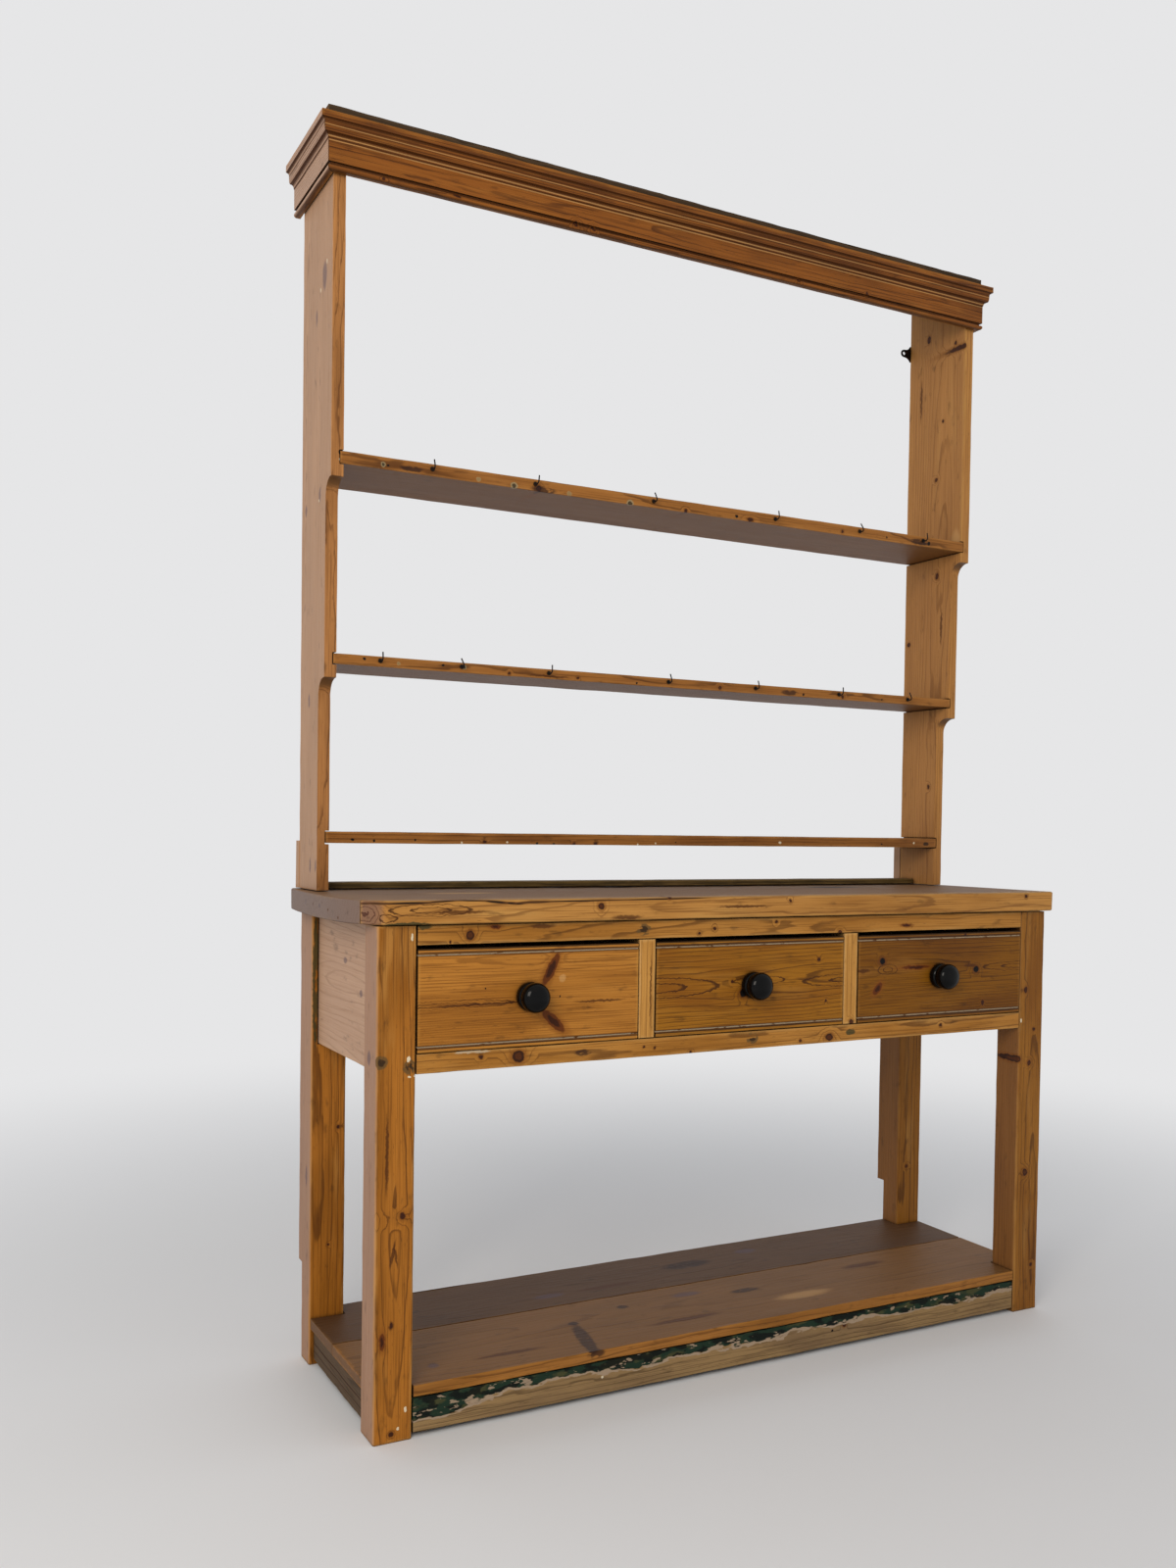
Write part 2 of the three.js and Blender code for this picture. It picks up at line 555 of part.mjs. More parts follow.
/** Knob turned about the Y axis: a spigot in the drawer front, a round collar, a waist and a bun. */
function knob() {
  const spigot = SPIGOT_DIAMETER / 2;
  const neck = KNOB_NECK_DIAMETER / 2;
  const neckEnd = KNOB_COLLAR_THICKNESS + KNOB_NECK_LENGTH;
  const collarMiddle = (FIT + KNOB_COLLAR_THICKNESS) / 2;
  const collarReach = KNOB_COLLAR_DIAMETER / 2 - neck;
  const headReach = KNOB_DIAMETER / 2 - neck;
  const face = oval(0, -KNOB_RIM_REACH, KNOB_DIAMETER / 2, KNOB_PROJECTION - KNOB_RIM_REACH, 0, -1);
  const profile = [
    new THREE.Vector2(0, SPIGOT_LENGTH),
    new THREE.Vector2(spigot, SPIGOT_LENGTH),
    new THREE.Vector2(spigot, -FIT),
    ...oval(neck, -collarMiddle, collarReach, KNOB_COLLAR_THICKNESS - collarMiddle, 1, -1),
    ...oval(neck, -KNOB_RIM_REACH, headReach, KNOB_RIM_REACH - neckEnd, 1, 0),
    ...face.slice(1, -1),
    new THREE.Vector2(0, -KNOB_PROJECTION),
  ];
  return new THREE.LatheGeometry(profile.reverse(), KNOB_FACETS);
}

/** One drawer of six pieces in a group of its own. */
function drawer(name, opening, knobOffset) {
  const group = new THREE.Group();
  group.position.set(opening.left + DRAWER_SIDE_GAP, 0, openingFloor);
  const width = opening.width - 2 * DRAWER_SIDE_GAP;
  const sideStart = DRAWER_LAP + FIT;
  const sideLength = drawerLength - sideStart;
  const knobX = width / 2 + knobOffset;
  place(group, `drawer_${name}_front`, drawerFront(width, knobX), pine);
  for (const side of ['left', 'right']) {
    const x = side === 'left' ? 0 : width - DRAWER_SIDE_THICKNESS;
    const inner = side === 'left' ? DRAWER_SIDE_THICKNESS : 0;
    const grooveBottom = inner - GROOVE_DEPTH - FIT;
    const grooveMouth = inner + GROOVE_DEPTH + FIT;
    const piece = cut(
      board(DRAWER_SIDE_THICKNESS, sideLength, drawerBoxHeight, 'y', ARRIS / 2),
      bottomGroove(grooveBottom, grooveMouth, -OVERRUN, sideLength + OVERRUN).translate(0, 0, -boxFloor),
    );
    place(group, `drawer_${name}_side_${side}`, piece, innerPine, x, sideStart, boxFloor);
  }
  const innerWidth = width - 2 * DRAWER_SIDE_THICKNESS - 2 * FIT;
  const backFloor = panelTop + FIT;
  const backHeight = boxFloor + drawerBoxHeight - backFloor;
  const back = board(innerWidth, DRAWER_SIDE_THICKNESS, backHeight, 'x', ARRIS / 2);
  place(group, `drawer_${name}_back`, back, innerPine,
    DRAWER_SIDE_THICKNESS + FIT, drawerLength - DRAWER_SIDE_THICKNESS, backFloor);
  const panelX = DRAWER_SIDE_THICKNESS - GROOVE_DEPTH;
  const panelY = DRAWER_FRONT_THICKNESS - GROOVE_DEPTH;
  const bottom = board(width - 2 * panelX, drawerLength - panelY, DRAWER_BOTTOM_THICKNESS, 'x', ARRIS / 2);
  place(group, `drawer_${name}_bottom`, bottom, innerPine, panelX, panelY, panelFloor);
  place(group, `drawer_${name}_knob`, knob(), ebonised, knobX, 0, boxFloor + drawerHeight / 2);
  return group;
}

const drawers = ['left', 'middle', 'right'].map((name, index) => (
  drawer(name, openings[index], KNOB_OFFSETS[index])
));

// Plate rack: its group stands on the base top; Y is 0 at the back edges of the stiles

const rack = new THREE.Group();
rack.position.set(rackLeft, rackBack, TABLE_HEIGHT + FIT);

const shelves = [
  ['top', SHELF_TOP_HEIGHT, SHELF_TOP_THICKNESS, STILE_DEPTH_TOP],
  ['middle', SHELF_MIDDLE_HEIGHT, SHELF_MIDDLE_THICKNESS, STILE_DEPTH_MIDDLE],
  ['low', SHELF_LOW_HEIGHT, SHELF_LOW_THICKNESS, STILE_DEPTH_FOOT],
].map(([name, top, thickness, depth]) => ({ name, top, thickness, depth }));

/** Continues a stile's outline down past a step: a small round nose, then a quarter of a hollow oval. */
function step(outline, fromDepth, toDepth, noseHeight) {
  const hollow = fromDepth - toDepth - STEP_NOSE;
  outline.lineTo(-fromDepth, noseHeight + STEP_NOSE_RADIUS);
  outline.absarc(-fromDepth + STEP_NOSE_RADIUS, noseHeight + STEP_NOSE_RADIUS, STEP_NOSE_RADIUS,
    Math.PI, 1.5 * Math.PI, false);
  outline.lineTo(-fromDepth + STEP_NOSE, noseHeight);
  outline.absellipse(-fromDepth + STEP_NOSE, noseHeight - STEP_HOLLOW_HEIGHT, hollow, STEP_HOLLOW_HEIGHT,
    Math.PI / 2, 0, true);
}

function stile(side) {
  const outline = new THREE.Shape();
  outline.moveTo(0, 0);
  outline.lineTo(0, STILE_HEIGHT);
  outline.lineTo(-STILE_DEPTH_TOP, STILE_HEIGHT);
  step(outline, STILE_DEPTH_TOP, STILE_DEPTH_MIDDLE, SHELF_TOP_HEIGHT - STEP_DROP_TOP);
  step(outline, STILE_DEPTH_MIDDLE, STILE_DEPTH_FOOT, SHELF_MIDDLE_HEIGHT - STEP_DROP_MIDDLE);
  outline.lineTo(-STILE_DEPTH_FOOT, 0);
  outline.closePath();
  const housingInner = side === 'left' ? STILE_THICKNESS + OVERRUN : -OVERRUN;
  const housingEnd = side === 'left' ? STILE_THICKNESS - HOUSING_DEPTH - FIT : HOUSING_DEPTH + FIT;
  const housings = shelves.map(({ top, thickness, depth }) => block(
    [Math.min(housingInner, housingEnd), -depth - OVERRUN, top - thickness - FIT],
    [Math.max(housingInner, housingEnd), OVERRUN, top + FIT],
  ));
  return cut(turned(extrude(outline, STILE_THICKNESS), 'x'), ...housings);
}

place(rack, 'stile_left', stile('left'), pine, 0, 0, 0);
place(rack, 'stile_right', stile('right'), pine, rackSpan - STILE_THICKNESS, 0, 0);

const shelfStart = STILE_THICKNESS - HOUSING_DEPTH;
for (const { name, top, thickness, depth } of shelves) {
  const shelf = board(rackSpan - 2 * shelfStart, depth - SHELF_BACK_SETBACK, thickness);
  place(rack, `shelf_${name}`, shelf, pine, shelfStart, -depth, top - thickness);
}

const tieRail = board(rackSpan - 2 * STILE_THICKNESS - 2 * FIT, TIE_RAIL_DEPTH, TIE_RAIL_HEIGHT);
place(rack, 'rack_tie_rail', tieRail, darkPine, STILE_THICKNESS + FIT, -TIE_RAIL_DEPTH, 0);

const packerDepth = RACK_SETBACK - PACKER_SETBACK;
for (const side of ['left', 'right']) {
  const x = side === 'left' ? 0 : rackSpan - STILE_THICKNESS;
  const packer = board(STILE_THICKNESS, packerDepth, PACKER_HEIGHT, 'z');
  place(rack, `wall_packer_${side}`, packer, pine, x, FIT, 0);
}

// Cornice: one moulding profile, planted on the front and mitred to a return at each end

/** Profile with its back on the wood: projection along X, height along Y. */
function corniceProfile() {
  const bead = CORNICE_BEAD_RADIUS;
  const quirk = CORNICE_BEAD_PROJECTION - bead;
  const outline = new THREE.Shape();
  outline.moveTo(0, 0);
  outline.lineTo(quirk, 0);
  outline.absarc(quirk, bead, bead, -Math.PI / 2, Math.PI / 2, false);
  outline.lineTo(quirk, fasciaFoot);
  outline.lineTo(CORNICE_FASCIA_PROJECTION, fasciaFoot);
  outline.lineTo(CORNICE_FASCIA_PROJECTION, coveFoot);
  outline.lineTo(CORNICE_COVE_FOOT_PROJECTION, coveFoot);
  outline.quadraticCurveTo(CORNICE_COVE_FOOT_PROJECTION, ovoloFoot, CORNICE_COVE_PROJECTION, ovoloFoot);
  outline.quadraticCurveTo(CORNICE_OVOLO_PROJECTION, ovoloFoot, CORNICE_OVOLO_PROJECTION, hollowFoot);
  outline.quadraticCurveTo(CORNICE_OVOLO_PROJECTION, filletFoot, CORNICE_PROJECTION, filletFoot);
  outline.lineTo(CORNICE_PROJECTION, corniceHeight);
  outline.lineTo(0, corniceHeight);
  outline.closePath();
  return outline;
}

/** Extrudes the profile and slants its ends, so that a point's end moves out by its projection. */
function moulding(length, startSlant, endSlant) {
  const geometry = extrude(corniceProfile(), length);
  const position = geometry.attributes.position;
  for (let index = 0; index < position.count; index += 1) {
    const projection = position.getX(index);
    const along = position.getZ(index);
    const slant = along > length / 2 ? endSlant : -startSlant;
    position.setZ(index, along + slant * projection);
  }
  geometry.computeVertexNormals();
  return geometry;
}

const toRight = new THREE.Vector3(1, 0, 0);
const toLeft = new THREE.Vector3(-1, 0, 0);
const toWall = new THREE.Vector3(0, 1, 0);
const toFront = new THREE.Vector3(0, -1, 0);
const upward = new THREE.Vector3(0, 0, 1);
const mitreInset = FIT * Math.SQRT2 - 2 * FIT;   // leaves a gap of one fit square to the mitre
const returnLength = STILE_DEPTH_TOP + CORNICE_RETURN_OVERRUN;

const frontMoulding = moulding(rackSpan - 2 * mitreInset, 1, 1);
frontMoulding.applyMatrix4(new THREE.Matrix4().makeBasis(toFront, upward, toLeft));
place(rack, 'cornice_front', frontMoulding, darkPine,
  rackSpan - mitreInset, -STILE_DEPTH_TOP - FIT, corniceFoot);

const leftReturn = moulding(returnLength, 1, 0);
leftReturn.applyMatrix4(new THREE.Matrix4().makeBasis(toLeft, upward, toWall));
place(rack, 'cornice_return_left', leftReturn, darkPine, -FIT, -STILE_DEPTH_TOP, corniceFoot);

const rightReturn = moulding(returnLength, 0, 1);
rightReturn.applyMatrix4(new THREE.Matrix4().makeBasis(toRight, upward, toFront));
place(rack, 'cornice_return_right', rightReturn, darkPine,
  rackSpan + FIT, CORNICE_RETURN_OVERRUN, corniceFoot);

const capLength = rackSpan + 2 * CAP_END_PROJECTION;
const capBoard = board(capLength, STILE_DEPTH_TOP + CAP_FRONT_PROJECTION, CAP_THICKNESS);
place(rack, 'rack_cap', capBoard, darkPine,
  -CAP_END_PROJECTION, -STILE_DEPTH_TOP - CAP_FRONT_PROJECTION, STILE_HEIGHT + FIT);

// Iron hanging plate: screwed to the back edge of the right stile, its eye towards the middle

function hangingPlate() {
  const eye = EYE_DIAMETER / 2;
  const half = PLATE_HEIGHT / 2;
  const outline = new THREE.Shape();
  outline.moveTo(PLATE_WIDTH, -half);
  outline.lineTo(PLATE_WIDTH, half);
  outline.lineTo(0, half);
  outline.quadraticCurveTo(-EYE_REACH / 4, eye, -EYE_REACH, eye);
  outline.absarc(-EYE_REACH, 0, eye, Math.PI / 2, 1.5 * Math.PI, false);
  outline.quadraticCurveTo(-EYE_REACH / 4, -eye, 0, -half);
  outline.closePath();
  const hole = new THREE.Path();
  hole.absarc(-EYE_REACH, 0, EYE_HOLE_DIAMETER / 2, 0, 2 * Math.PI, true);
  outline.holes.push(hole);
  return extrude(outline, PLATE_THICKNESS).rotateX(Math.PI / 2);
}

place(rack, 'hanging_plate', hangingPlate(), iron,
  rackSpan - STILE_THICKNESS, PLATE_THICKNESS + FIT, STILE_HEIGHT - PLATE_DROP);

// The whole dresser, with the middle of its box over the origin

const boxLeft = Math.min(bowLeft, rackLeft - FIT - CORNICE_PROJECTION);
const boxRight = Math.max(topRight, rackLeft + rackSpan + FIT + CORNICE_PROJECTION);
const boxFront = Math.min(topFront, -KNOB_PROJECTION);
const dresser = new THREE.Group();
dresser.position.set(-(boxLeft + boxRight) / 2, -(boxFront + BASE_DEPTH) / 2, 0);
dresser.add(base, ...drawers, rack);

const welshDresser = new THREE.Group();
welshDresser.add(dresser);
export default welshDresser;
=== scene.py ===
"""An old pine welsh dresser, dressed for its picture.

The frame gives every solid piece its size and place. Here a copy of each board that shows is rounded and
worn, the knobs are turned, the cup hooks are bent, and every piece gets its finish. The classes' fields are
in millimetres, and Blender's own lengths are metres.
"""
import logging
import math
from contextlib import contextmanager
from dataclasses import dataclass, field
from enum import Enum
from typing import Iterator, Optional

import bpy
from mathutils import Euler, Matrix, Vector


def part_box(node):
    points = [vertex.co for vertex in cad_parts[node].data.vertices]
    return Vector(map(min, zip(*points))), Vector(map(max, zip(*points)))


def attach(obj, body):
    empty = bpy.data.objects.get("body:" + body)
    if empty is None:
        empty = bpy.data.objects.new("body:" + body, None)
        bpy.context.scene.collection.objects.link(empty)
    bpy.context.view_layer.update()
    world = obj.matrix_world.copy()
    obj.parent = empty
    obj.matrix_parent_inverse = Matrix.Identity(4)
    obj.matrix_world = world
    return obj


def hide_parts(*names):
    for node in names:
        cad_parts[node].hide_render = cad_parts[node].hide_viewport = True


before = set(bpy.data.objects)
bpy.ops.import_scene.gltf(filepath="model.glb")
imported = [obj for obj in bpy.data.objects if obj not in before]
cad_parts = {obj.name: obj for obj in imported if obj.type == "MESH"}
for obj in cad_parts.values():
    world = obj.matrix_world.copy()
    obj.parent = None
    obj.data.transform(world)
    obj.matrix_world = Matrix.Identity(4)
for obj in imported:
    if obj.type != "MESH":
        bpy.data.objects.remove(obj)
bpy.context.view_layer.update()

MM = 0.001                      # one millimetre in metres
PER_METRE = 1000.0              # millimetres in a metre, for patterns that are laid out in millimetres
WELD = 0.01 * MM                # corners closer than this are one corner
CARCASS = "carcass"

log = logging.getLogger("welsh_dresser")


def colour(code: str) -> tuple[float, float, float, float]:
    """Turns an sRGB hex value into the linear colour that a shader takes.

    Args:
        code: the colour, as #rrggbb.

    Returns:
        Red, green, blue and an opacity of 1.
    """
    shares = [int(code[start:start + 2], 16) / 255 for start in (1, 3, 5)]
    linear = [s / 12.92 if s <= 0.04045 else ((s + 0.055) / 1.055) ** 2.4 for s in shares]
    return (linear[0], linear[1], linear[2], 1.0)


class Grain(Enum):
    """The axis that a board's grain follows, with the turn that lays it along a pattern's X axis."""

    X = (0, (0.0, 0.0, 0.0))
    Y = (1, (0.0, 0.0, -math.pi / 2))
    Z = (2, (0.0, math.pi / 2, 0.0))

    @property
    def axis(self) -> int:
        """The axis as an index."""
        return self.value[0]

    @property
    def turn(self) -> Euler:
        """The turn from the dresser's axes to the board's."""
        return Euler(self.value[1])


class Face(Enum):
    """A face of a board by its normal: the axis, and whether it is the face at the high end of it."""

    FRONT = (1, False)
    LEFT = (0, False)
    TOP = (2, True)


@dataclass(frozen=True)
class MarkStyle:
    """How one kind of mark looks in wood."""

    tint: str
    strength: float             # how much of the wood it covers
    heart: str = ""             # colour of its middle, where that differs
    heart_share: float = 0.5    # how much of its radius the middle takes
    halo: str = ""              # colour of the wood just round it
    flow: float = 0.0           # how far the grain runs round it, in rings
    relief: float = 0.0         # height against the wood, as a share of the bump
    depth: float = 8.0          # how far it goes into the wood
    patchy: float = 0.0         # share of it that is broken away
    soft: float = 0.25          # width of its outline, as a share of its radius
    rings: int = 0              # nested lines it is drawn as, in place of a solid patch


class Kind(Enum):
    """The kinds of mark on the boards."""

    KNOT = MarkStyle("#2c1207", 0.95, heart="#4f270b", heart_share=0.58, halo="#74400f", flow=2.4, depth=60.0,
                     soft=0.2)
    SMALL_KNOT = MarkStyle("#34160a", 0.94, halo="#70400f", flow=1.0, depth=60.0, soft=0.4)
    DEAD_KNOT = MarkStyle("#2a1409", 0.97, heart="#090605", heart_share=0.85, halo="#5a2e0e", flow=2.6,
                          relief=-0.8, depth=60.0)
    SPIKE_KNOT = MarkStyle("#5a2907", 0.92, heart="#341606", heart_share=0.55, halo="#7d4610", flow=0.5,
                           depth=40.0)
    BURR = MarkStyle("#5c4626", 0.85, heart="#2b1c0e", heart_share=0.55, patchy=0.44, relief=-0.5)
    HOLE = MarkStyle("#0a0705", 1.0, relief=-1.6)
    BUNG = MarkStyle("#94835f", 0.8, heart="#0b0806", heart_share=0.6, relief=-0.6)
    PLUG = MarkStyle("#a98f68", 0.8, heart="#866b40", heart_share=0.88, soft=0.1)
    FILLER = MarkStyle("#dccdae", 0.95, relief=0.4)
    BRUISE = MarkStyle("#51414a", 0.62, soft=0.6)
    END_RINGS = MarkStyle("#47251a", 0.85, depth=60.0, soft=0.1, rings=5)
    GRAIN_LOOP = MarkStyle("#3c1d06", 0.88, soft=0.06, rings=2)
    STAIN = MarkStyle("#2a1712", 0.8, patchy=0.36, soft=0.5)
    PALE = MarkStyle("#c99c62", 0.5, soft=0.8)
    STREAK = MarkStyle("#4a2609", 0.82, soft=0.7)
    CRACK = MarkStyle("#120a06", 0.96, halo="#6b431c", depth=40.0, soft=0.4)
    RESIDUE = MarkStyle("#b9a88c", 0.72, patchy=0.38)
    GRIME = MarkStyle("#1d130b", 0.85, patchy=0.22)
    GREEN_DIRT = MarkStyle("#34371f", 0.85, patchy=0.4)

    def at(self, *places: tuple[float, ...], face: Face = Face.FRONT) -> tuple["Mark", ...]:
        """Describes marks of this kind on one face of a board.

        Args:
            places: for each mark its column and row in the photograph and its radius, and then its stretch
                and its turn where it has them.
            face: the face that they are on.

        Returns:
            The marks.
        """
        return tuple(Mark(self, (column, row), *size, face=face) for column, row, *size in places)

    def along(self, *places: tuple[float, float]) -> tuple["Line", ...]:
        """Describes lines of this kind, each by its height and width."""
        return tuple(Line(self, height, width) for height, width in places)


@dataclass(frozen=True)
class Mark:
    """One mark, at the pixel of the photograph that shows its middle."""

    kind: Kind
    pixel: tuple[float, float]
    radius: float               # half its width across the grain
    stretch: float = 1.0        # length along the grain against width
    turn: float = 0.0           # degrees, about the face's normal
    face: Face = Face.FRONT

    def placed(self, low: Vector, high: Vector, grain: int) -> tuple[Vector, Vector, Euler]:
        """Works out where the mark lies on a board.

        Args:
            low: the board's lowest corner, in metres.
            high: its highest corner.
            grain: the axis of its grain.

        Returns:
            Its middle in metres, its half sizes in millimetres, and its turn.
        """
        axis, at_high = self.face.value
        centre = PORTRAIT.on_plane(self.pixel, axis, (high if at_high else low)[axis])
        reach = Vector((self.radius,) * 3)
        reach[grain] *= self.stretch
        reach[axis] = self.kind.value.depth
        turn = [0.0, 0.0, 0.0]
        turn[axis] = math.radians(self.turn)
        return centre, reach, Euler(turn)


@dataclass(frozen=True)
class Line:
    """A mark drawn out along a board at a set height, such as dirt in a groove."""

    kind: Kind
    height: float               # above the board's lowest edge
    width: float

    def placed(self, low: Vector, high: Vector, _: int) -> tuple[Vector, Vector, Euler]:
        """Works out where the line lies on a board.

        Args:
            low: the board's lowest corner, in metres.
            high: its highest corner.

        Returns:
            Its middle in metres, its half sizes in millimetres, and its turn.
        """
        centre = (low + high) / 2
        centre.z = low.z + self.height * MM
        reach = (high - low) * PER_METRE
        reach.z = self.width / 2
        return centre, reach, Euler()


@dataclass(frozen=True)
class Split:
    """A thin mark between two pixels on a front face, such as a stretch of a crack."""

    kind: Kind
    start: tuple[float, float]
    end: tuple[float, float]
    width: float

    def placed(self, low: Vector, _: Vector, __: int) -> tuple[Vector, Vector, Euler]:
        """Works out where the split lies on a board.

        Args:
            low: the board's lowest corner, in metres.

        Returns:
            Its middle in metres, its half sizes in millimetres, and its turn.
        """
        first = PORTRAIT.on_plane(self.start, 1, low.y)
        last = PORTRAIT.on_plane(self.end, 1, low.y)
        span = last - first
        reach = Vector((span.length * PER_METRE / 2 + self.width, self.kind.value.depth, self.width / 2))
        return (first + last) / 2, reach, Euler((0.0, -math.atan2(span.z, span.x), 0.0))


@dataclass(frozen=True)
class PineTone:
    """Colours of one kind of old pine surface."""

    early: str                  # pale wood of the spring rings
    late: str                   # dark line of the summer rings
    deep: str                   # clouded, darker patches
    left: str                   # painted window light and sheen on faces turned to the left
    worn: str                   # arrises rubbed pale
    top: str = "#8a6844"        # faces that look up
    under: str = "#5c3f22"      # faces that look down: painted shade, over their darker, unfinished wood
    end: str = "#6b4a2c"        # end grain
    dirt_and_shade: str = "#1c1008"       # in open grain, and dirt and painted shade in corners
    left_light_share: float = 0.65
    top_share: float = 0.65
    contrast: float = 0.85      # strength of the ring lines
    fibre: float = 0.5          # strength of the fine streaks between them
    roughness: float = 0.5
    relief: float = 0.5         # depth of the open grain


@dataclass(frozen=True)
class Cut:
    """How a board was sawn from its tree, in millimetres in the board's own axes."""

    grain: Grain
    pith: tuple[float, float] = (0.0, 70.0)     # from the board's middle to the tree's heart
    ring: float = 6.0
    lean: tuple[float, float] = (0.0, 0.6)      # degrees between board and trunk
    wander: float = 34.0        # how far the rings stray over the length of the board
    seed: float = 0.0
    ripple: float = 4.5         # how far they stray over a hand's width


@dataclass(frozen=True)
class Wear:
    """How far a board's edges are worn."""

    arris: float = 1.0          # rounding of each edge
    depth: float = 1.1          # most that is worn away
    lump: float = 55.0          # length of one worn place
    step: float = 32.0          # distance between the corners that wear bends
    keep_floor: bool = False    # the foot or underside stays level


@dataclass(frozen=True)
class Portrait:
    """The photograph's viewpoint, and where its pixels fall on the dresser."""

    width: int = 1200
    height: int = 1600
    focal: float = 1370.02                      # pixels
    axis_row: float = 883.6                     # pixel row that the lens looks along
    position: tuple[float, float, float] = (-1351.27, -2136.09, 953.13)
    forward: tuple[float, float, float] = (0.46605, 0.88432, -0.02792)
    right: tuple[float, float, float] = (0.88476, -0.46584, 0.01390)
    up: tuple[float, float, float] = (0.00071, 0.03118, 0.99951)
    sensor: float = 36.0
    nearest: float = 50.0                       # nothing closer shows
    farthest: float = 60000.0                   # and nothing farther away

    def on_plane(self, pixel: tuple[float, float], axis: int, place: float) -> Vector:
        """Finds the point of a flat face that a pixel shows.

        Args:
            pixel: column and row in the photograph.
            axis: the axis that the face is square to.
            place: the face's place on that axis, in metres.

        Returns:
            The point, in metres.
        """
        column, row = pixel
        ray = (
            Vector(self.forward) * self.focal
            + Vector(self.right) * (column - self.width / 2)
            - Vector(self.up) * (row - self.axis_row)
        )
        start = Vector(self.position) * MM
        return start + ray * ((place - start[axis]) / ray[axis])

    def build(self) -> None:
        """Sets up the camera."""
        data = bpy.data.cameras.new("portrait")
        data.sensor_width = self.sensor
        data.lens = self.focal * self.sensor / self.height
        data.shift_y = (self.axis_row - self.height / 2) / self.height
        data.clip_start = self.nearest * MM
        data.clip_end = self.farthest * MM
        camera = bpy.data.objects.new("portrait", data)
        back = -Vector(self.forward)
        turn = Matrix((self.right, self.up, back)).transposed()
        camera.matrix_world = Matrix.Translation(Vector(self.position) * MM) @ turn.to_4x4()
        bpy.context.scene.collection.objects.link(camera)
        bpy.context.scene.camera = camera


PORTRAIT = Portrait()


class Graph:
    """The shader nodes of one material or world."""

    def __init__(self, owner: bpy.types.ID) -> None:
        """Clears the owner's nodes.

        Args:
            owner: a material or a world.
        """
        self.owner = owner
        owner.use_nodes = True
        self.tree = owner.node_tree
        self.tree.nodes.clear()

    def add(self, kind: str, inputs: Optional[dict] = None, **settings: object) -> bpy.types.Node:
        """Adds a node.

        Args:
            kind: the node's type, without the ShaderNode that all share.
            inputs: by name or index, a value, or a node or socket to link.
            settings: the node's own properties.

        Returns:
            The new node.
        """
        node = self.tree.nodes.new("ShaderNode" + kind)
        for key, value in settings.items():
            setattr(node, key, value)
        for key, value in (inputs or {}).items():
            source = value.outputs[0] if isinstance(value, bpy.types.Node) else value
            if isinstance(source, bpy.types.NodeSocket):
                self.tree.links.new(source, node.inputs[key])
            else:
                node.inputs[key].default_value = source
        return node


@dataclass(frozen=True)
class Cloud:
    """Noise that is drawn out along the grain, and how a colour follows it."""

    along: float                # size of one cloud along the grain, in millimetres
    across: float               # its size across the grain
    detail: float = 2.0         # levels of finer noise
    shift: float = 0.0          # sets it apart from the others
    span: tuple[float, float] = (0.0, 1.0)      # the noise where its colour starts and where it is whole
    strength: float = 1.0       # the most that its colour covers


@dataclass(frozen=True)
class FlakingPaint:
    """Old oil paint that is left on the upper part of a board only. It is matt, and its edge stands up."""

    paint: str = "#1c2f22"
    paint_worn: str = "#474629"
    paint_dark: str = "#0a0e0b"
    priming: str = "#a08a72"    # pinkish ground that shows along the broken edge
    line: float = 11.0          # middle of the board up to where the paint ends
    ragged: float = 44.0
    low_drop: float = 19.0      # it comes down lower at the left end
    low_run: float = 170.0
    rim: float = 4.5            # width of the priming along the edge
    rim_soft: float = 1.5
    edge_soft: float = 1.2
    thickness: float = 1.2
    roughness: float = 0.7
    tongues: tuple[Cloud, ...] = (Cloud(95, 30, 3, 21), Cloud(18, 10, 3, 27, strength=0.35))
    shown: Cloud = Cloud(26, 9, 3, 23, (0.36, 0.44))            # where the priming shows at the edge
    rubbed: Cloud = Cloud(40, 16, 4, 25, (0.5, 0.64), 0.9)
    sooty: Cloud = Cloud(30, 12, 4, 26, (0.5, 0.57), 0.9)
    chipped: Cloud = Cloud(22, 9, 4, 28, (0.61, 0.64), 0.85)


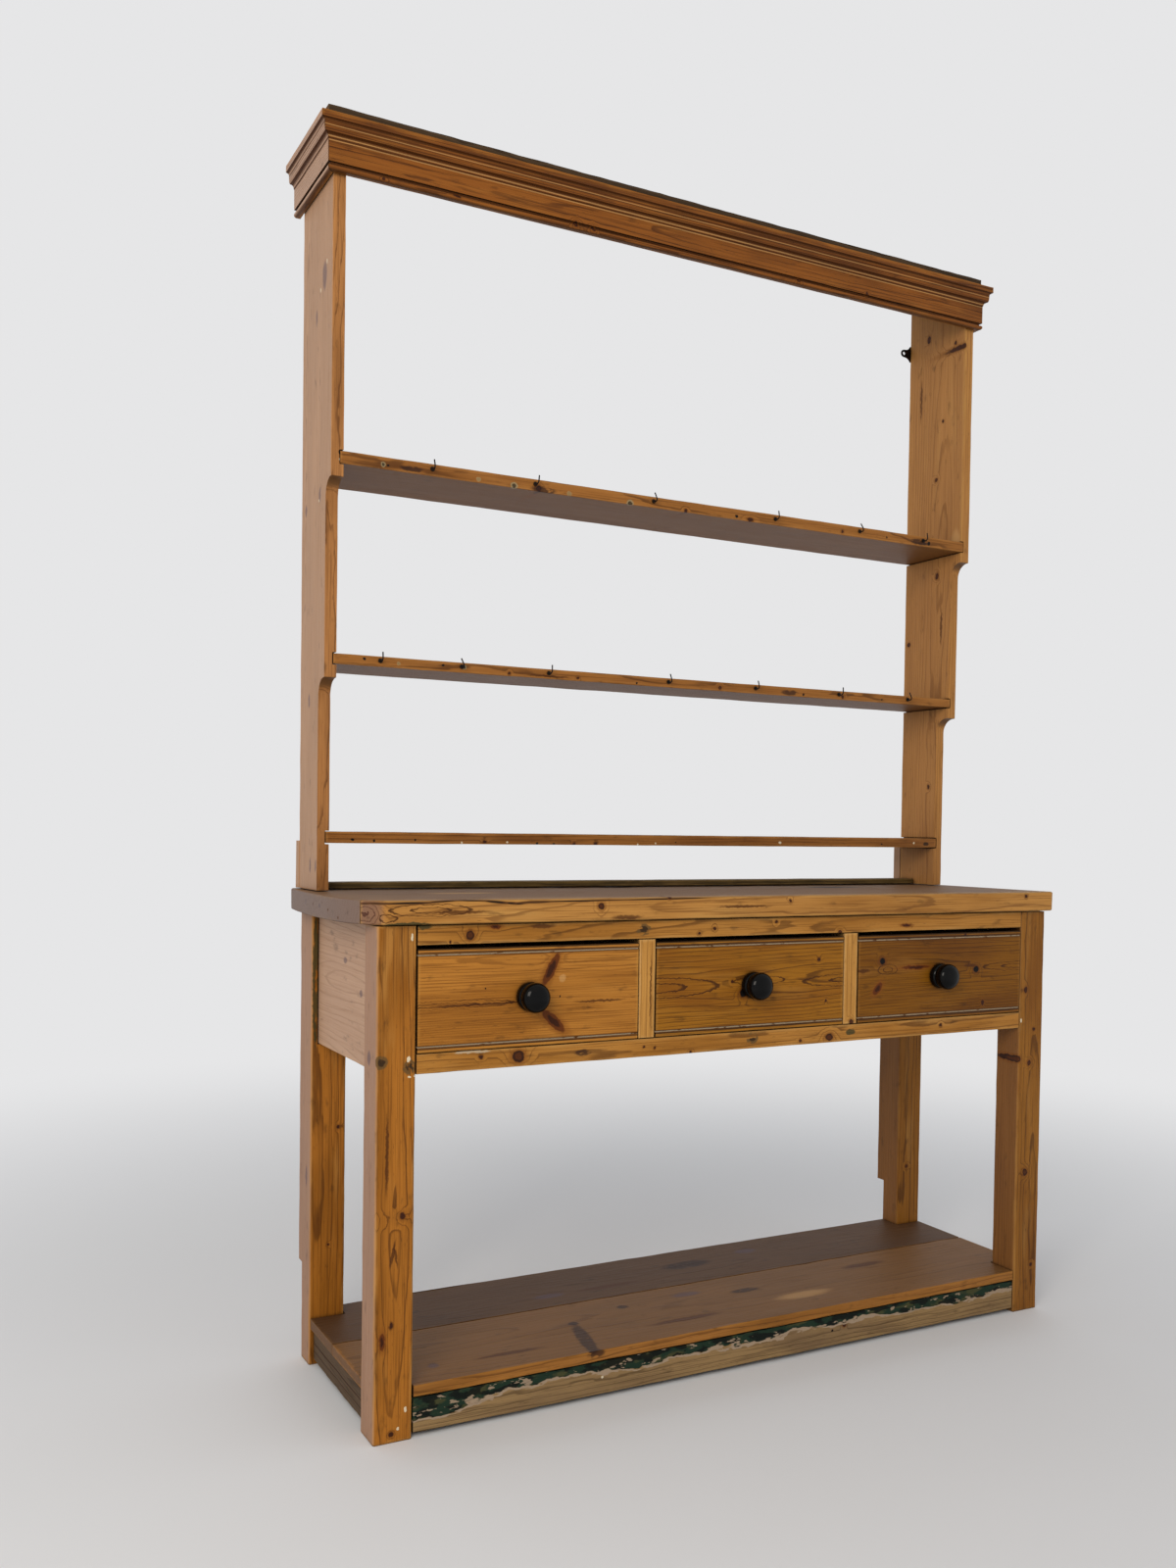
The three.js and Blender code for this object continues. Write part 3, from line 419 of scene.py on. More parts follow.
class PineSurface:
    """Old waxed pine: solid wood with rings, knots, open grain, rubbed arrises, and dirt and painted shade in
    corners.

    Pine has pale spring wood between narrow dark summer lines, which stand up where the soft wood has worn.
    Wax gives it a soft sheen, so the roughness is about a half, and it is too thin to look wet.
    """

    DISTORTION = 3.0            # how far a mark's outline strays
    DISTORTION_SIZE = 9.0
    EDGE_REACH = 6.0            # width of the rubbed band along an arris
    CORNER_SHADE_REACH = 12.0         # how far dirt and painted shade reach out of a corner
    FLOW_REACH = 3.6            # how far the grain bends round a knot, in its radii
    SHEEN = 0.15
    IOR = 1.48                  # of wax

    STRAY = Cloud(620, 95, 1)                               # bends the rings over the board's length
    RIPPLE = Cloud(85, 11, 2, 5)                            # and over a hand's width
    PATCHES = Cloud(300, 80, 3, 2, (0.42, 0.66), 0.85)      # darker wood
    BLEACHED = Cloud(210, 30, 3, 6, (0.54, 0.74), 0.45)     # wood that has been rubbed pale
    FADED = Cloud(240, 40, 2, 3, (0.32, 0.58), 0.42)        # wood where the ring lines are this weak
    FIBRE = Cloud(130, 1.9, 3, 7, (0.48, 0.7))              # fine streaks
    PORES = Cloud(17, 1.5, 1, 15, (0.7, 0.77), 0.5)         # dirt in the open grain
    GRUBBY = Cloud(34, 13, 4, 11, (0.6, 0.78), 0.4)         # dirt that hands have left
    UNEVEN = Cloud(60, 14, 3, 9)                            # moves the edge of the rubbed band
    BROKEN = Cloud(16, 6, 3, 4)                             # breaks up the patchy marks
    DENTS = Cloud(38, 20, 2, 13)                            # hollows that only the light shows
    SEED_STEP = 17.3            # how far the noise moves from one seed to the next
    SEED_WAY = (1.0, 0.7, 1.9)  # and which way

    # A ring's dark line rises softly and breaks off sharply. The wood darkens a little before it.
    LINE_RISE = (0.72, 0.92)
    LINE_FALL = (1.0, 0.94)
    BODY_RISE = (0.1, 0.9)
    BODY = 0.26                 # how dark the wood gets before its line, as a share of that line

    # Ring lines and streaks lie under the tints of the sides, painted light and shade among them, and again
    # over them, weaker.
    LINES_UNDER = 0.6
    LINES_OVER = 0.4
    FIBRE_OVER = 0.4
    FIBRE_OVER_SPAN = (0.46, 0.7)
    TURNED = (0.3, 0.9)         # how squarely a face looks one way where its side's tint starts and is whole
    END_TURNED = (0.4, 0.8)
    UNDER_SHADE_SHARE = 0.8
    END_SHARE = 0.75
    RUBBED_SHARE = 0.5
    OPEN = (0.8, 0.25)          # how open a spot lies where a corner's dirt and painted shade start and are whole
    CORNER_SHADE_SHARE = 0.85
    CORNER_RAYS = 4

    # Distances are shares of a mark's radius.
    HALO = (2.1, 0.9)
    HALO_SHARE = 0.6
    HEART_SOFT = 0.1
    SUNK = (1.1, 0.8)
    PATCHY_SOFT = 0.06
    NESTED = (0.72, 0.9)        # where in each nested line's step its dark part starts and is whole

    LINE_RELIEF = 0.6           # heights, as shares of the bump
    DENT_RELIEF = 1.2
    BUMP = 0.9                  # height of the bump
    ROUGH_SPREAD = 0.2          # how much the roughness changes from streak to streak

    def __init__(self, name: str, tone: PineTone, cut: Cut, low: Vector, high: Vector) -> None:
        """Starts the material of one board.

        Args:
            name: the material's name.
            tone: its colours.
            cut: how it was sawn.
            low: the board's lowest corner, in metres.
            high: the board's highest corner, in metres.
        """
        self.graph = Graph(bpy.data.materials.new(name))
        self.tone = tone
        self.cut = cut
        self.low = low
        self.high = high
        place = self.graph.add("TexCoord")
        self.normal = place.outputs["Normal"]
        self.place = self.graph.add("Mapping", {"Vector": place.outputs["Object"], "Scale": (PER_METRE,) * 3})
        turn = cut.grain.turn
        middle = (low + high) / 2 * PER_METRE
        middle.rotate(turn)
        self.local = self.graph.add("Mapping", {
            "Vector": place.outputs["Object"], "Location": -middle, "Rotation": turn,
            "Scale": (PER_METRE,) * 3,
        })
        self.half = (high - low) * PER_METRE / 2
        self.half.rotate(turn)
        self.half = Vector(abs(part) for part in self.half)
        stray = self.graph.add("TexNoise", {
            "Vector": self.place, "Scale": 1 / self.DISTORTION_SIZE, "Detail": 2.0,
        })
        self.strayed = self.graph.add("VectorMath", {
            0: stray.outputs["Color"], 1: (2 * self.DISTORTION,) * 3, 2: self.place,
        }, operation="MULTIPLY_ADD")

    def noise(self, cloud: Cloud) -> bpy.types.Node:
        """Adds noise that is drawn out along the grain.

        Args:
            cloud: its sizes.

        Returns:
            The noise node, from 0 to 1.
        """
        seed = self.SEED_STEP * self.cut.seed + cloud.shift
        stretched = self.graph.add("VectorMath", {
            0: self.local, 1: (1 / cloud.along, 1 / cloud.across, 1 / cloud.across),
            2: tuple(way * seed for way in self.SEED_WAY),
        }, operation="MULTIPLY_ADD")
        return self.graph.add("TexNoise", {"Vector": stretched, "Scale": 1.0, "Detail": cloud.detail})

    def lay(self, wood: object, tint: str, source: object, span: tuple[float, float],
            strength: object) -> bpy.types.Node:
        """Lays a colour over the wood, softly, where a pattern passes from one value to another.

        Args:
            wood: the colour below, as a node or a constant.
            tint: the colour above, as a hex value.
            source: the pattern, as a node or socket.
            span: the pattern's values where the colour starts and where it is whole.
            strength: the most that it covers, as a number or a node.

        Returns:
            The colour with the layer on it.
        """
        share = self.graph.add("MapRange", {
            "Value": source, "From Min": span[0], "From Max": span[1], "To Max": strength,
        }, interpolation_type="SMOOTHSTEP")
        return self.graph.add("MixRGB", {0: share, 1: wood, 2: colour(tint)})

    def tinge(self, wood: object, tint: str, cloud: Cloud) -> bpy.types.Node:
        """Lays a colour over the wood where its own noise is strong.

        Args:
            wood: the colour below.
            tint: the colour above, as a hex value.
            cloud: the noise, its span and the strength.

        Returns:
            The colour with the layer on it.
        """
        return self.lay(wood, tint, self.noise(cloud), cloud.span, cloud.strength)

    def mark_distance(self, mark: object) -> bpy.types.NodeSocket:
        """Measures the distance to a mark, which is 1 at its outline.

        Args:
            mark: a Mark, Line or Split.

        Returns:
            The distance.
        """
        centre, reach, turn = mark.placed(self.low, self.high, self.cut.grain.axis)
        straight = not isinstance(mark, Mark)
        stray = Vector((0.0 if straight else self.DISTORTION,) * 3)
        local = self.graph.add("Mapping", {
            "Vector": self.place if straight else self.strayed,
            "Location": centre * PER_METRE + stray, "Rotation": turn, "Scale": reach,
        }, vector_type="TEXTURE")
        return self.graph.add("VectorMath", {0: local}, operation="LENGTH").outputs["Value"]

    def rings(self, distances: list[tuple[MarkStyle, object]]) -> bpy.types.Node:
        """Draws the tree's rings, which run round the knots.

        Args:
            distances: each mark's style and its distance.

        Returns:
            A mask that is 1 on the dark summer lines.
        """
        graph, cut = self.graph, self.cut
        trunk = graph.add("Mapping", {
            "Vector": self.local, "Location": (0.0, -cut.pith[0], -cut.pith[1]),
            "Rotation": (0.0, math.radians(cut.lean[0]), math.radians(cut.lean[1])),
        })
        flat = graph.add("VectorMath", {0: trunk, 1: (0.0, 1.0, 1.0)}, operation="MULTIPLY")
        radius = graph.add("VectorMath", {0: flat}, operation="LENGTH").outputs["Value"]
        for cloud, amount in ((self.STRAY, cut.wander), (self.RIPPLE, cut.ripple)):
            radius = graph.add("Math", {0: self.noise(cloud), 1: amount, 2: radius}, operation="MULTIPLY_ADD")
        for style, distance in distances:
            if style.flow:
                bend = graph.add("MapRange", {
                    "Value": distance, "From Min": self.FLOW_REACH, "From Max": 0.0,
                    "To Max": style.flow * cut.ring,
                }, interpolation_type="SMOOTHSTEP")
                radius = graph.add("Math", {0: bend, 1: radius}, operation="ADD")
        rings = graph.add("Math", {0: radius, 1: cut.ring}, operation="DIVIDE")
        phase = graph.add("Math", {0: rings}, operation="FRACT")
        masks = []
        for (start, end), strength in ((self.LINE_FALL, 1.0), (self.BODY_RISE, self.BODY)):
            masks.append(graph.add("MapRange", {
                "Value": phase, "From Min": start, "From Max": end, "To Max": strength,
            }, interpolation_type="SMOOTHSTEP"))
        sharp, body = masks
        start, end = self.LINE_RISE
        line = graph.add("MapRange", {"Value": phase, "From Min": start, "From Max": end, "To Max": sharp},
                         interpolation_type="SMOOTHSTEP")
        whole = graph.add("Math", {0: body, 1: sharp}, operation="MULTIPLY")
        return graph.add("Math", {0: line, 1: whole}, operation="MAXIMUM")

    def edge_distance(self) -> bpy.types.Node:
        """Measures the distance to the nearest arris of the board's own box, made uneven.

        Returns:
            The distance, in millimetres.
        """
        graph = self.graph
        inside = graph.add("VectorMath", {0: self.local}, operation="ABSOLUTE")
        depth = graph.add("VectorMath", {0: self.half, 1: inside}, operation="SUBTRACT")
        parts = graph.add("SeparateXYZ", {0: depth})
        x, y, z = (parts.outputs[index] for index in range(3))
        nearer = graph.add("Math", {0: x, 1: y}, operation="MINIMUM")
        farther = graph.add("Math", {0: x, 1: y}, operation="MAXIMUM")
        inner = graph.add("Math", {0: farther, 1: z}, operation="MINIMUM")
        edge = graph.add("Math", {0: nearer, 1: inner}, operation="MAXIMUM")
        return graph.add("Math", {0: self.noise(self.UNEVEN), 1: 2 * self.EDGE_REACH, 2: edge},
                         operation="MULTIPLY_ADD")

    def bare(self, lines: object, fibre: object) -> bpy.types.Node:
        """Colours the wood itself: its clouds, its ring lines, what hands did to each side, and painted light
        and shade.

        Args:
            lines: the mask of the ring lines.
            fibre: the fine streaks.

        Returns:
            The wood's colour, without marks.
        """
        graph, tone = self.graph, self.tone
        wood = self.tinge(colour(tone.early), tone.deep, self.PATCHES)
        wood = self.tinge(wood, tone.worn, self.BLEACHED)
        wood = self.lay(wood, tone.late, lines, (0.0, 1.0), self.LINES_UNDER * tone.contrast)
        wood = self.lay(wood, tone.late, fibre, self.FIBRE.span, tone.fibre)
        wood = self.tinge(wood, tone.dirt_and_shade, self.PORES)
        facing = graph.add("SeparateXYZ", {0: self.normal})
        away = tuple(-limit for limit in self.TURNED)
        # Painted window light and sheen on the faces turned to the left.
        wood = self.lay(wood, tone.left, facing.outputs[0], away, tone.left_light_share)
        wood = self.lay(wood, tone.top, facing.outputs[2], self.TURNED, tone.top_share)
        # Painted shade on the faces turned down, over their darker, unfinished wood.
        wood = self.lay(wood, tone.under, facing.outputs[2], away, self.UNDER_SHADE_SHARE)
        wood = self.lay(wood, tone.late, lines, (0.0, 1.0), self.LINES_OVER * tone.contrast)
        wood = self.lay(wood, tone.deep, fibre, self.FIBRE_OVER_SPAN, self.FIBRE_OVER * tone.fibre)
        along = graph.add("Math", {0: facing.outputs[self.cut.grain.axis]}, operation="ABSOLUTE")
        wood = self.lay(wood, tone.end, along, self.END_TURNED, self.END_SHARE)
        band = (2 * self.EDGE_REACH, self.EDGE_REACH)
        wood = self.lay(wood, tone.worn, self.edge_distance(), band, self.RUBBED_SHARE)
        wood = self.tinge(wood, tone.dirt_and_shade, self.GRUBBY)
        # Dirt and painted shade in corners and between parts, where other faces close round a spot.
        corner_shade = graph.add("AmbientOcclusion", {"Distance": self.CORNER_SHADE_REACH * MM}, samples=self.CORNER_RAYS)
        return self.lay(wood, tone.dirt_and_shade, corner_shade.outputs["AO"], self.OPEN, self.CORNER_SHADE_SHARE)

    def build(self, marks: tuple = (), paint: Optional[FlakingPaint] = None) -> bpy.types.Material:
        """Joins the layers of the finish.

        Args:
            marks: the board's marks, lines and splits.
            paint: old paint over the wood, if there is any.

        Returns:
            The material.
        """
        graph, tone = self.graph, self.tone
        distances = [(mark.kind.value, self.mark_distance(mark)) for mark in marks]
        start, end = self.FADED.span
        fade = graph.add("MapRange", {
            "Value": self.noise(self.FADED), "From Min": start, "From Max": end,
            "To Min": self.FADED.strength,
        }, interpolation_type="SMOOTHSTEP")
        lines = graph.add("Math", {0: self.rings(distances), 1: fade}, operation="MULTIPLY")
        fibre = self.noise(self.FIBRE)
        wood = self.bare(lines, fibre)
        height = graph.add("Math", {0: lines, 1: self.LINE_RELIEF, 2: fibre}, operation="MULTIPLY_ADD")
        broken = self.noise(self.BROKEN)
        for style, distance in distances:
            strength = style.strength
            if style.patchy:
                strength = graph.add("MapRange", {
                    "Value": broken, "From Min": style.patchy - self.PATCHY_SOFT,
                    "From Max": style.patchy + self.PATCHY_SOFT, "To Max": strength,
                }, interpolation_type="SMOOTHSTEP")
            if style.rings:
                steps = graph.add("Math", {0: distance, 1: float(style.rings)}, operation="MULTIPLY")
                phase = graph.add("Math", {0: steps}, operation="FRACT")
                start, end = self.NESTED
                strength = graph.add("MapRange", {
                    "Value": phase, "From Min": start, "From Max": end, "To Max": strength,
                }, interpolation_type="SMOOTHSTEP")
            if style.halo:
                wood = self.lay(wood, style.halo, distance, self.HALO, self.HALO_SHARE)
            outline = (1 + style.soft / 2, 1 - style.soft / 2)
            wood = self.lay(wood, style.tint, distance, outline, strength)
            if style.heart:
                outline = (style.heart_share + self.HEART_SOFT, style.heart_share - self.HEART_SOFT)
                wood = self.lay(wood, style.heart, distance, outline, strength)
            if style.relief:
                start, end = self.SUNK
                sunk = graph.add("MapRange", {
                    "Value": distance, "From Min": start, "From Max": end, "To Max": style.relief})
                height = graph.add("Math", {0: sunk, 1: height}, operation="ADD")
        rough = graph.add("Math", {0: fibre, 1: self.ROUGH_SPREAD, 2: tone.roughness - self.ROUGH_SPREAD / 2},
                          operation="MULTIPLY_ADD")
        if paint:
            wood, rough, height = self.painted(paint, wood, rough, height)
        height = graph.add("Math", {0: self.noise(self.DENTS), 1: self.DENT_RELIEF, 2: height},
                           operation="MULTIPLY_ADD")
        bump = graph.add("Bump", {"Height": height, "Strength": tone.relief, "Distance": self.BUMP * MM})
        shader = graph.add("BsdfPrincipled", {
            "Base Color": wood, "Roughness": rough, "Normal": bump, "IOR": self.IOR,
            "Specular IOR Level": self.SHEEN,
        })
        graph.add("OutputMaterial", {"Surface": shader})
        return graph.owner

    def painted(self, paint: FlakingPaint, wood: object, rough: object, height: object) -> tuple:
        """Covers the upper part of the board with old paint.

        Args:
            paint: its colours and sizes.
            wood: the wood's colour.
            rough: the wood's roughness.
            height: the wood's relief.

        Returns:
            Colour, roughness and relief with the paint on.
        """
        graph = self.graph
        parts = graph.add("SeparateXYZ", {0: self.local})
        slump = graph.add("MapRange", {
            "Value": parts.outputs[0], "From Min": -self.half.x, "From Max": paint.low_run - self.half.x,
            "To Min": paint.low_drop, "To Max": 0.0,
        })
        above = graph.add("Math", {0: parts.outputs[2], 1: slump}, operation="ADD")
        for tongue in paint.tongues:
            above = graph.add("Math", {
                0: self.noise(tongue), 1: tongue.strength * paint.ragged, 2: above,
            }, operation="MULTIPLY_ADD")
        edge = paint.line + sum(tongue.strength for tongue in paint.tongues) / 2 * paint.ragged
        start, end = paint.shown.span
        shown = graph.add("MapRange", {
            "Value": self.noise(paint.shown), "From Min": start, "From Max": end,
        }, interpolation_type="SMOOTHSTEP")
        rim = edge - paint.rim
        wood = self.lay(wood, paint.priming, above, (rim - paint.rim_soft, rim), shown)
        coat = self.tinge(colour(paint.paint), paint.paint_worn, paint.rubbed)
        coat = self.tinge(coat, paint.paint_dark, paint.sooty)
        coat = self.tinge(coat, paint.priming, paint.chipped)
        cover = graph.add("MapRange", {"Value": above, "From Min": edge, "From Max": edge + paint.edge_soft})
        wood = graph.add("MixRGB", {0: cover, 1: wood, 2: coat})
        rough = graph.add("Math", {0: cover, 1: paint.roughness - self.tone.roughness, 2: rough},
                          operation="MULTIPLY_ADD")
        height = graph.add("Math", {0: cover, 1: paint.thickness, 2: height}, operation="MULTIPLY_ADD")
        return wood, rough, height


@dataclass(frozen=True)
class DarkFinish:
    """A dark finish with fine relief, where patches of another colour come through."""

    dark: str
    patch: str
    relief_scale: tuple[float, float, float]    # lines or pits in a metre along each axis
    relief_detail: float
    relief_height: float
    relief_strength: float
    patches: float              # in a metre
    patch_span: tuple[float, float]             # the noise where a patch starts and where it is whole
    patch_share: float
    roughness: float
    rougher: float              # how much the patches, or else their noise, add to the roughness
    by_noise: bool = False
    metallic: float = 0.0
    sheen: float = 0.5
    ior: float = 1.5

    def build(self, name: str) -> bpy.types.Material:
        """Makes the material.

        Args:
            name: its name.

        Returns:
            The material.
        """
        graph = Graph(bpy.data.materials.new(name))
        place = graph.add("TexCoord").outputs["Object"]
        scaled = graph.add("Mapping", {"Vector": place, "Scale": self.relief_scale})
        relief = graph.add("TexNoise", {"Vector": scaled, "Scale": 1.0, "Detail": self.relief_detail})
        noise = graph.add("TexNoise", {"Vector": place, "Scale": self.patches, "Detail": 3.0})
        start, end = self.patch_span
        share = graph.add("MapRange", {
            "Value": noise, "From Min": start, "From Max": end, "To Max": self.patch_share,
        })
        tint = graph.add("MixRGB", {0: share, 1: colour(self.dark), 2: colour(self.patch)})
        rough = graph.add("Math", {
            0: noise if self.by_noise else share, 1: self.rougher, 2: self.roughness,
        }, operation="MULTIPLY_ADD")
        bump = graph.add("Bump", {
            "Height": relief, "Strength": self.relief_strength, "Distance": self.relief_height * MM,
        })
        shader = graph.add("BsdfPrincipled", {
            "Base Color": tint, "Roughness": rough, "Normal": bump, "Metallic": self.metallic,
            "IOR": self.ior, "Specular IOR Level": self.sheen,
        })
        graph.add("OutputMaterial", {"Surface": shader})
        return graph.owner


# Turned wood, stained black and polished: near black, with narrow highlights over faint turning lines. The
# lines are drawn 2.4 mm apart, coarser than real ones, so that they show.
EBONISED_WOOD = DarkFinish("#040404", "#0e0b0a", (8.0, PER_METRE / 2.4, 8.0), 2.0, 0.5, 0.12, 90.0,
                           (0.5, 0.8), 0.6, roughness=0.05, rougher=0.16, by_noise=True, sheen=0.14)
# Forged iron, blackened by hand: dull, and brown where rust comes through. Its pits are drawn 1.6 mm wide,
# coarser than real ones.
BLACK_IRON = DarkFinish("#16130f", "#3d2416", (PER_METRE / 1.6,) * 3, 3.0, 0.4, 0.4, 160.0, (0.5, 0.72),
                        0.8, roughness=0.5, rougher=0.25, metallic=0.75)


class Bench:
    """The hand tools that shape a piece."""

    WORN = "worn"               # the vertices that wear may move
    FLAT = 1.0                  # degrees within which two faces count as one
    ARRIS_TURN = 25.0           # degrees from which an edge is an arris
    SEGMENTS = 2                # flats that a rounded arris is made of
    COARSE, FINE = 0.7, 0.3     # shares of the wear in its large and in its small lumps
    FINE_LUMPS = 4              # small lumps to a large one
    # The noise where nothing is worn away. Where it is stronger, which is rare, the wood stands out, by a
    # twentieth of the wear at the most.
    UNWORN = 0.95

    @staticmethod
    def take(piece: bpy.types.Object) -> None:
        """Lays one piece on the bench and puts all others aside.

        Args:
            piece: the piece.
        """
        if bpy.context.object and bpy.context.object.mode != "OBJECT":
            bpy.ops.object.mode_set(mode="OBJECT")
        bpy.ops.object.select_all(action="DESELECT")
        piece.select_set(True)
        bpy.context.view_layer.objects.active = piece

    @staticmethod
    @contextmanager
    def at_work(piece: bpy.types.Object) -> Iterator[None]:
        """Opens a piece for work on its faces.

        Args:
            piece: the piece.

        Yields:
            Nothing; the whole piece is selected.
        """
        Bench.take(piece)
        bpy.ops.object.mode_set(mode="EDIT")
        bpy.ops.mesh.select_mode(type="FACE")
        bpy.ops.mesh.select_all(action="SELECT")
        yield
        bpy.ops.object.mode_set(mode="OBJECT")

    @staticmethod
    def apply(piece: bpy.types.Object, kind: str, **settings: object) -> None:
        """Adds a modifier with its settings and applies it.

        Args:
            piece: the piece.
            kind: the modifier's type.
            settings: its properties.
        """
        Bench.take(piece)
        modifier = piece.modifiers.new(kind.lower(), kind)
        for key, value in settings.items():
            setattr(modifier, key, value)
        bpy.ops.object.modifier_apply(modifier=modifier.name)

    @staticmethod
    def copy_of(node: str, name: str) -> bpy.types.Object:
        """Copies a solid of the frame, with its triangles merged back into faces.

        Args:
            node: the solid's name.
            name: the copy's name.

        Returns:
            The copy.
        """
        piece = bpy.data.objects.new(name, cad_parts[node].data.copy())
        bpy.context.scene.collection.objects.link(piece)
        piece.data.materials.clear()
        Bench.take(piece)
        bpy.ops.mesh.customdata_custom_splitnormals_clear()
        with Bench.at_work(piece):
            bpy.ops.mesh.remove_doubles(threshold=WELD)
            bpy.ops.mesh.dissolve_limited(angle_limit=math.radians(Bench.FLAT))
        return piece

    @staticmethod
    def saw_marks(piece: bpy.types.Object, axis: int, step: float) -> None:
        """Parts a board's faces at even steps along its grain, so that wear can bend them.

        Args:
            piece: the board.
            axis: the grain's axis.
            step: the distance between two partings, in millimetres.
        """
        places = [vertex.co[axis] for vertex in piece.data.vertices]
        low, high = min(places), max(places)
        count = max(1, round((high - low) / (step * MM)))
        normal = [0.0, 0.0, 0.0]
        normal[axis] = 1.0
        with Bench.at_work(piece):
            for index in range(1, count):
                point = [0.0, 0.0, 0.0]
                point[axis] = low + (high - low) * index / count
                bpy.ops.mesh.select_all(action="SELECT")
                bpy.ops.mesh.bisect(plane_co=point, plane_no=normal, use_fill=False)

    @staticmethod
    def wear(piece: bpy.types.Object, wear: Wear) -> None:
        """Wears a piece down unevenly.

        Args:
            piece: the piece.
            wear: how far it is worn.
        """
        group = piece.vertex_groups.new(name=Bench.WORN)
        floor = min(vertex.co.z for vertex in piece.data.vertices)
        free = [
            vertex.index for vertex in piece.data.vertices
            if not (wear.keep_floor and vertex.co.z < floor + WELD)
        ]
        group.add(free, 1.0, "REPLACE")
        for share, lump in ((Bench.COARSE, wear.lump), (Bench.FINE, wear.lump / Bench.FINE_LUMPS)):
            texture = bpy.data.textures.new("worn_" + piece.name, "CLOUDS")
            texture.noise_scale = lump * MM
            texture.noise_depth = 1
            Bench.apply(piece, "DISPLACE", texture=texture, strength=share * wear.depth * MM,
                        mid_level=Bench.UNWORN, texture_coords="LOCAL", vertex_group=Bench.WORN)
        piece.vertex_groups.clear()

    @staticmethod
    def smooth(piece: bpy.types.Object, degrees: float = 35.0) -> None:
        """Shades a piece softly over its rounded edges and flat over its faces.

        Args:
            piece: the piece.
            degrees: the angle from which an edge stays sharp.
        """
        Bench.take(piece)
        bpy.ops.object.shade_smooth_by_angle(angle=math.radians(degrees))
        Bench.apply(piece, "WEIGHTED_NORMAL", keep_sharp=True)

    @staticmethod
    def worn_board(node: str, cut: Cut, wear: Wear) -> bpy.types.Object:
        """Makes a worn board in the place of a solid of the frame.

        Args:
            node: the solid's name.
            cut: how the board was sawn.
            wear: how far it is worn.

        Returns:
            The board.
        """
        piece = Bench.copy_of(node, node + "_worn")
        Bench.apply(piece, "BEVEL", width=wear.arris * MM, segments=Bench.SEGMENTS, limit_method="ANGLE",
                    angle_limit=math.radians(Bench.ARRIS_TURN), use_clamp_overlap=True)
        Bench.saw_marks(piece, cut.grain.axis, wear.step)
        Bench.wear(piece, wear)
        Bench.smooth(piece)
        return piece


# Tones, by their early, late, deep, left and worn colours and what else differs. Front faces are golden
# orange, faces to the left get painted window light and sheen in pinkish brown, and tops are dull.

LEG_PINE = PineTone("#a96a22", "#4a2606", "#885212", "#a88670", "#c08a44", left_light_share=0.75)
# A darker tone for the legs at the right: painted shade, as the light falls off to the right.
LEG_RIGHT_SHADED_PINE = PineTone("#94601f", "#432206", "#7a4a14", "#7f5633", "#a87a3e", top="#6b4c2c",
                          under="#4a321a")
RAIL_PINE = PineTone("#b27a34", "#54300c", "#98621f", "#a07c5f", "#c0904f")
DIVIDER_PINE = PineTone("#c48d44", "#7c5120", "#b07b37", "#a5804f", "#cfa263")
DRAWER_LEFT_PINE = PineTone("#b2752c", "#5e330b", "#99601d", "#8d6c50", "#b98238", top="#7a5c3a",
                            under="#4a321a", contrast=0.5, fibre=0.62)
# The middle and right drawers are darker in steps: partly their own wood, partly painted shade as the light
# falls off to the right.
DRAWER_MIDDLE_SHADED_PINE = PineTone("#9a6414", "#3c1d04", "#824d0c", "#7d5c40", "#a8742e", top="#6b4c2c",
                              under="#4a321a", fibre=0.6)
DRAWER_RIGHT_SHADED_PINE = PineTone("#7f4f0a", "#371b04", "#6c3f08", "#6d4e34", "#946326", top="#5c4026",
                             under="#4a321a", fibre=0.6)
LIPPING_PINE = PineTone("#b98340", "#5c3414", "#a06c2e", "#806250", "#c0924f", top="#84684a", end="#7d5c48",
                        contrast=0.65, fibre=0.6)
TOP_PINE = PineTone("#8f6a44", "#4f3420", "#735436", "#a08b80", "#8d7052", top="#7e6046", end="#6a564c",
                    left_light_share=0.85, top_share=0.72, contrast=0.7, roughness=0.55)
PANEL_PINE = PineTone("#b38a66", "#7d5838", "#9c7453", "#bb987e", "#c39a74", left_light_share=0.72, contrast=0.6)
STILE_PINE = PineTone("#a8723f", "#512c10", "#8d5d30", "#b79376", "#b9814a", left_light_share=0.78)
STILE_INNER_PINE = PineTone("#b27c40", "#71461c", "#a06d38", "#a8794a", "#bd8c4b", left_light_share=0.35)
SHELF_PINE = PineTone("#98622a", "#44240a", "#7a4a1d", "#8a6a4c", "#ad763a", top="#86684a", under="#64401c")
CORNICE_PINE = PineTone("#884f19", "#331604", "#5a310d", "#bb9a82", "#a86c2a", top="#4c3f32",
                        under="#4a2e14", left_light_share=0.8, top_share=0.8, relief=0.8)
DUSTY_PINE = PineTone("#4b3926", "#22180e", "#382a1b", "#4a3c2e", "#5e4a33", top="#4a3f33", under="#33261a",
                      roughness=0.75, relief=0.9)
POT_PINE = PineTone("#a06a30", "#55310f", "#86561f", "#6a5340", "#a8702c", top="#6a4c2c", under="#4a321a",
                    contrast=0.8, top_share=0.75, roughness=0.52)
POT_REAR_PINE = PineTone("#7a522c", "#452a14", "#654326", "#5a4534", "#7c5830", top="#4c3522",
                         under="#4a321a", contrast=0.7, top_share=0.8, roughness=0.55)
WEATHERED_SIDE_PINE = PineTone("#5e4a34", "#2e2216", "#4b3a28", "#5a4837", "#6e5940", top="#5a4632",
                               under="#4a3d2a", roughness=0.72, relief=1.0)
WEATHERED_PINE = PineTone("#94774f", "#4e3a24", "#796044", "#6b583e", "#947a50", top="#6a563c",
                          under="#4a3d2a", roughness=0.72, relief=1.0)
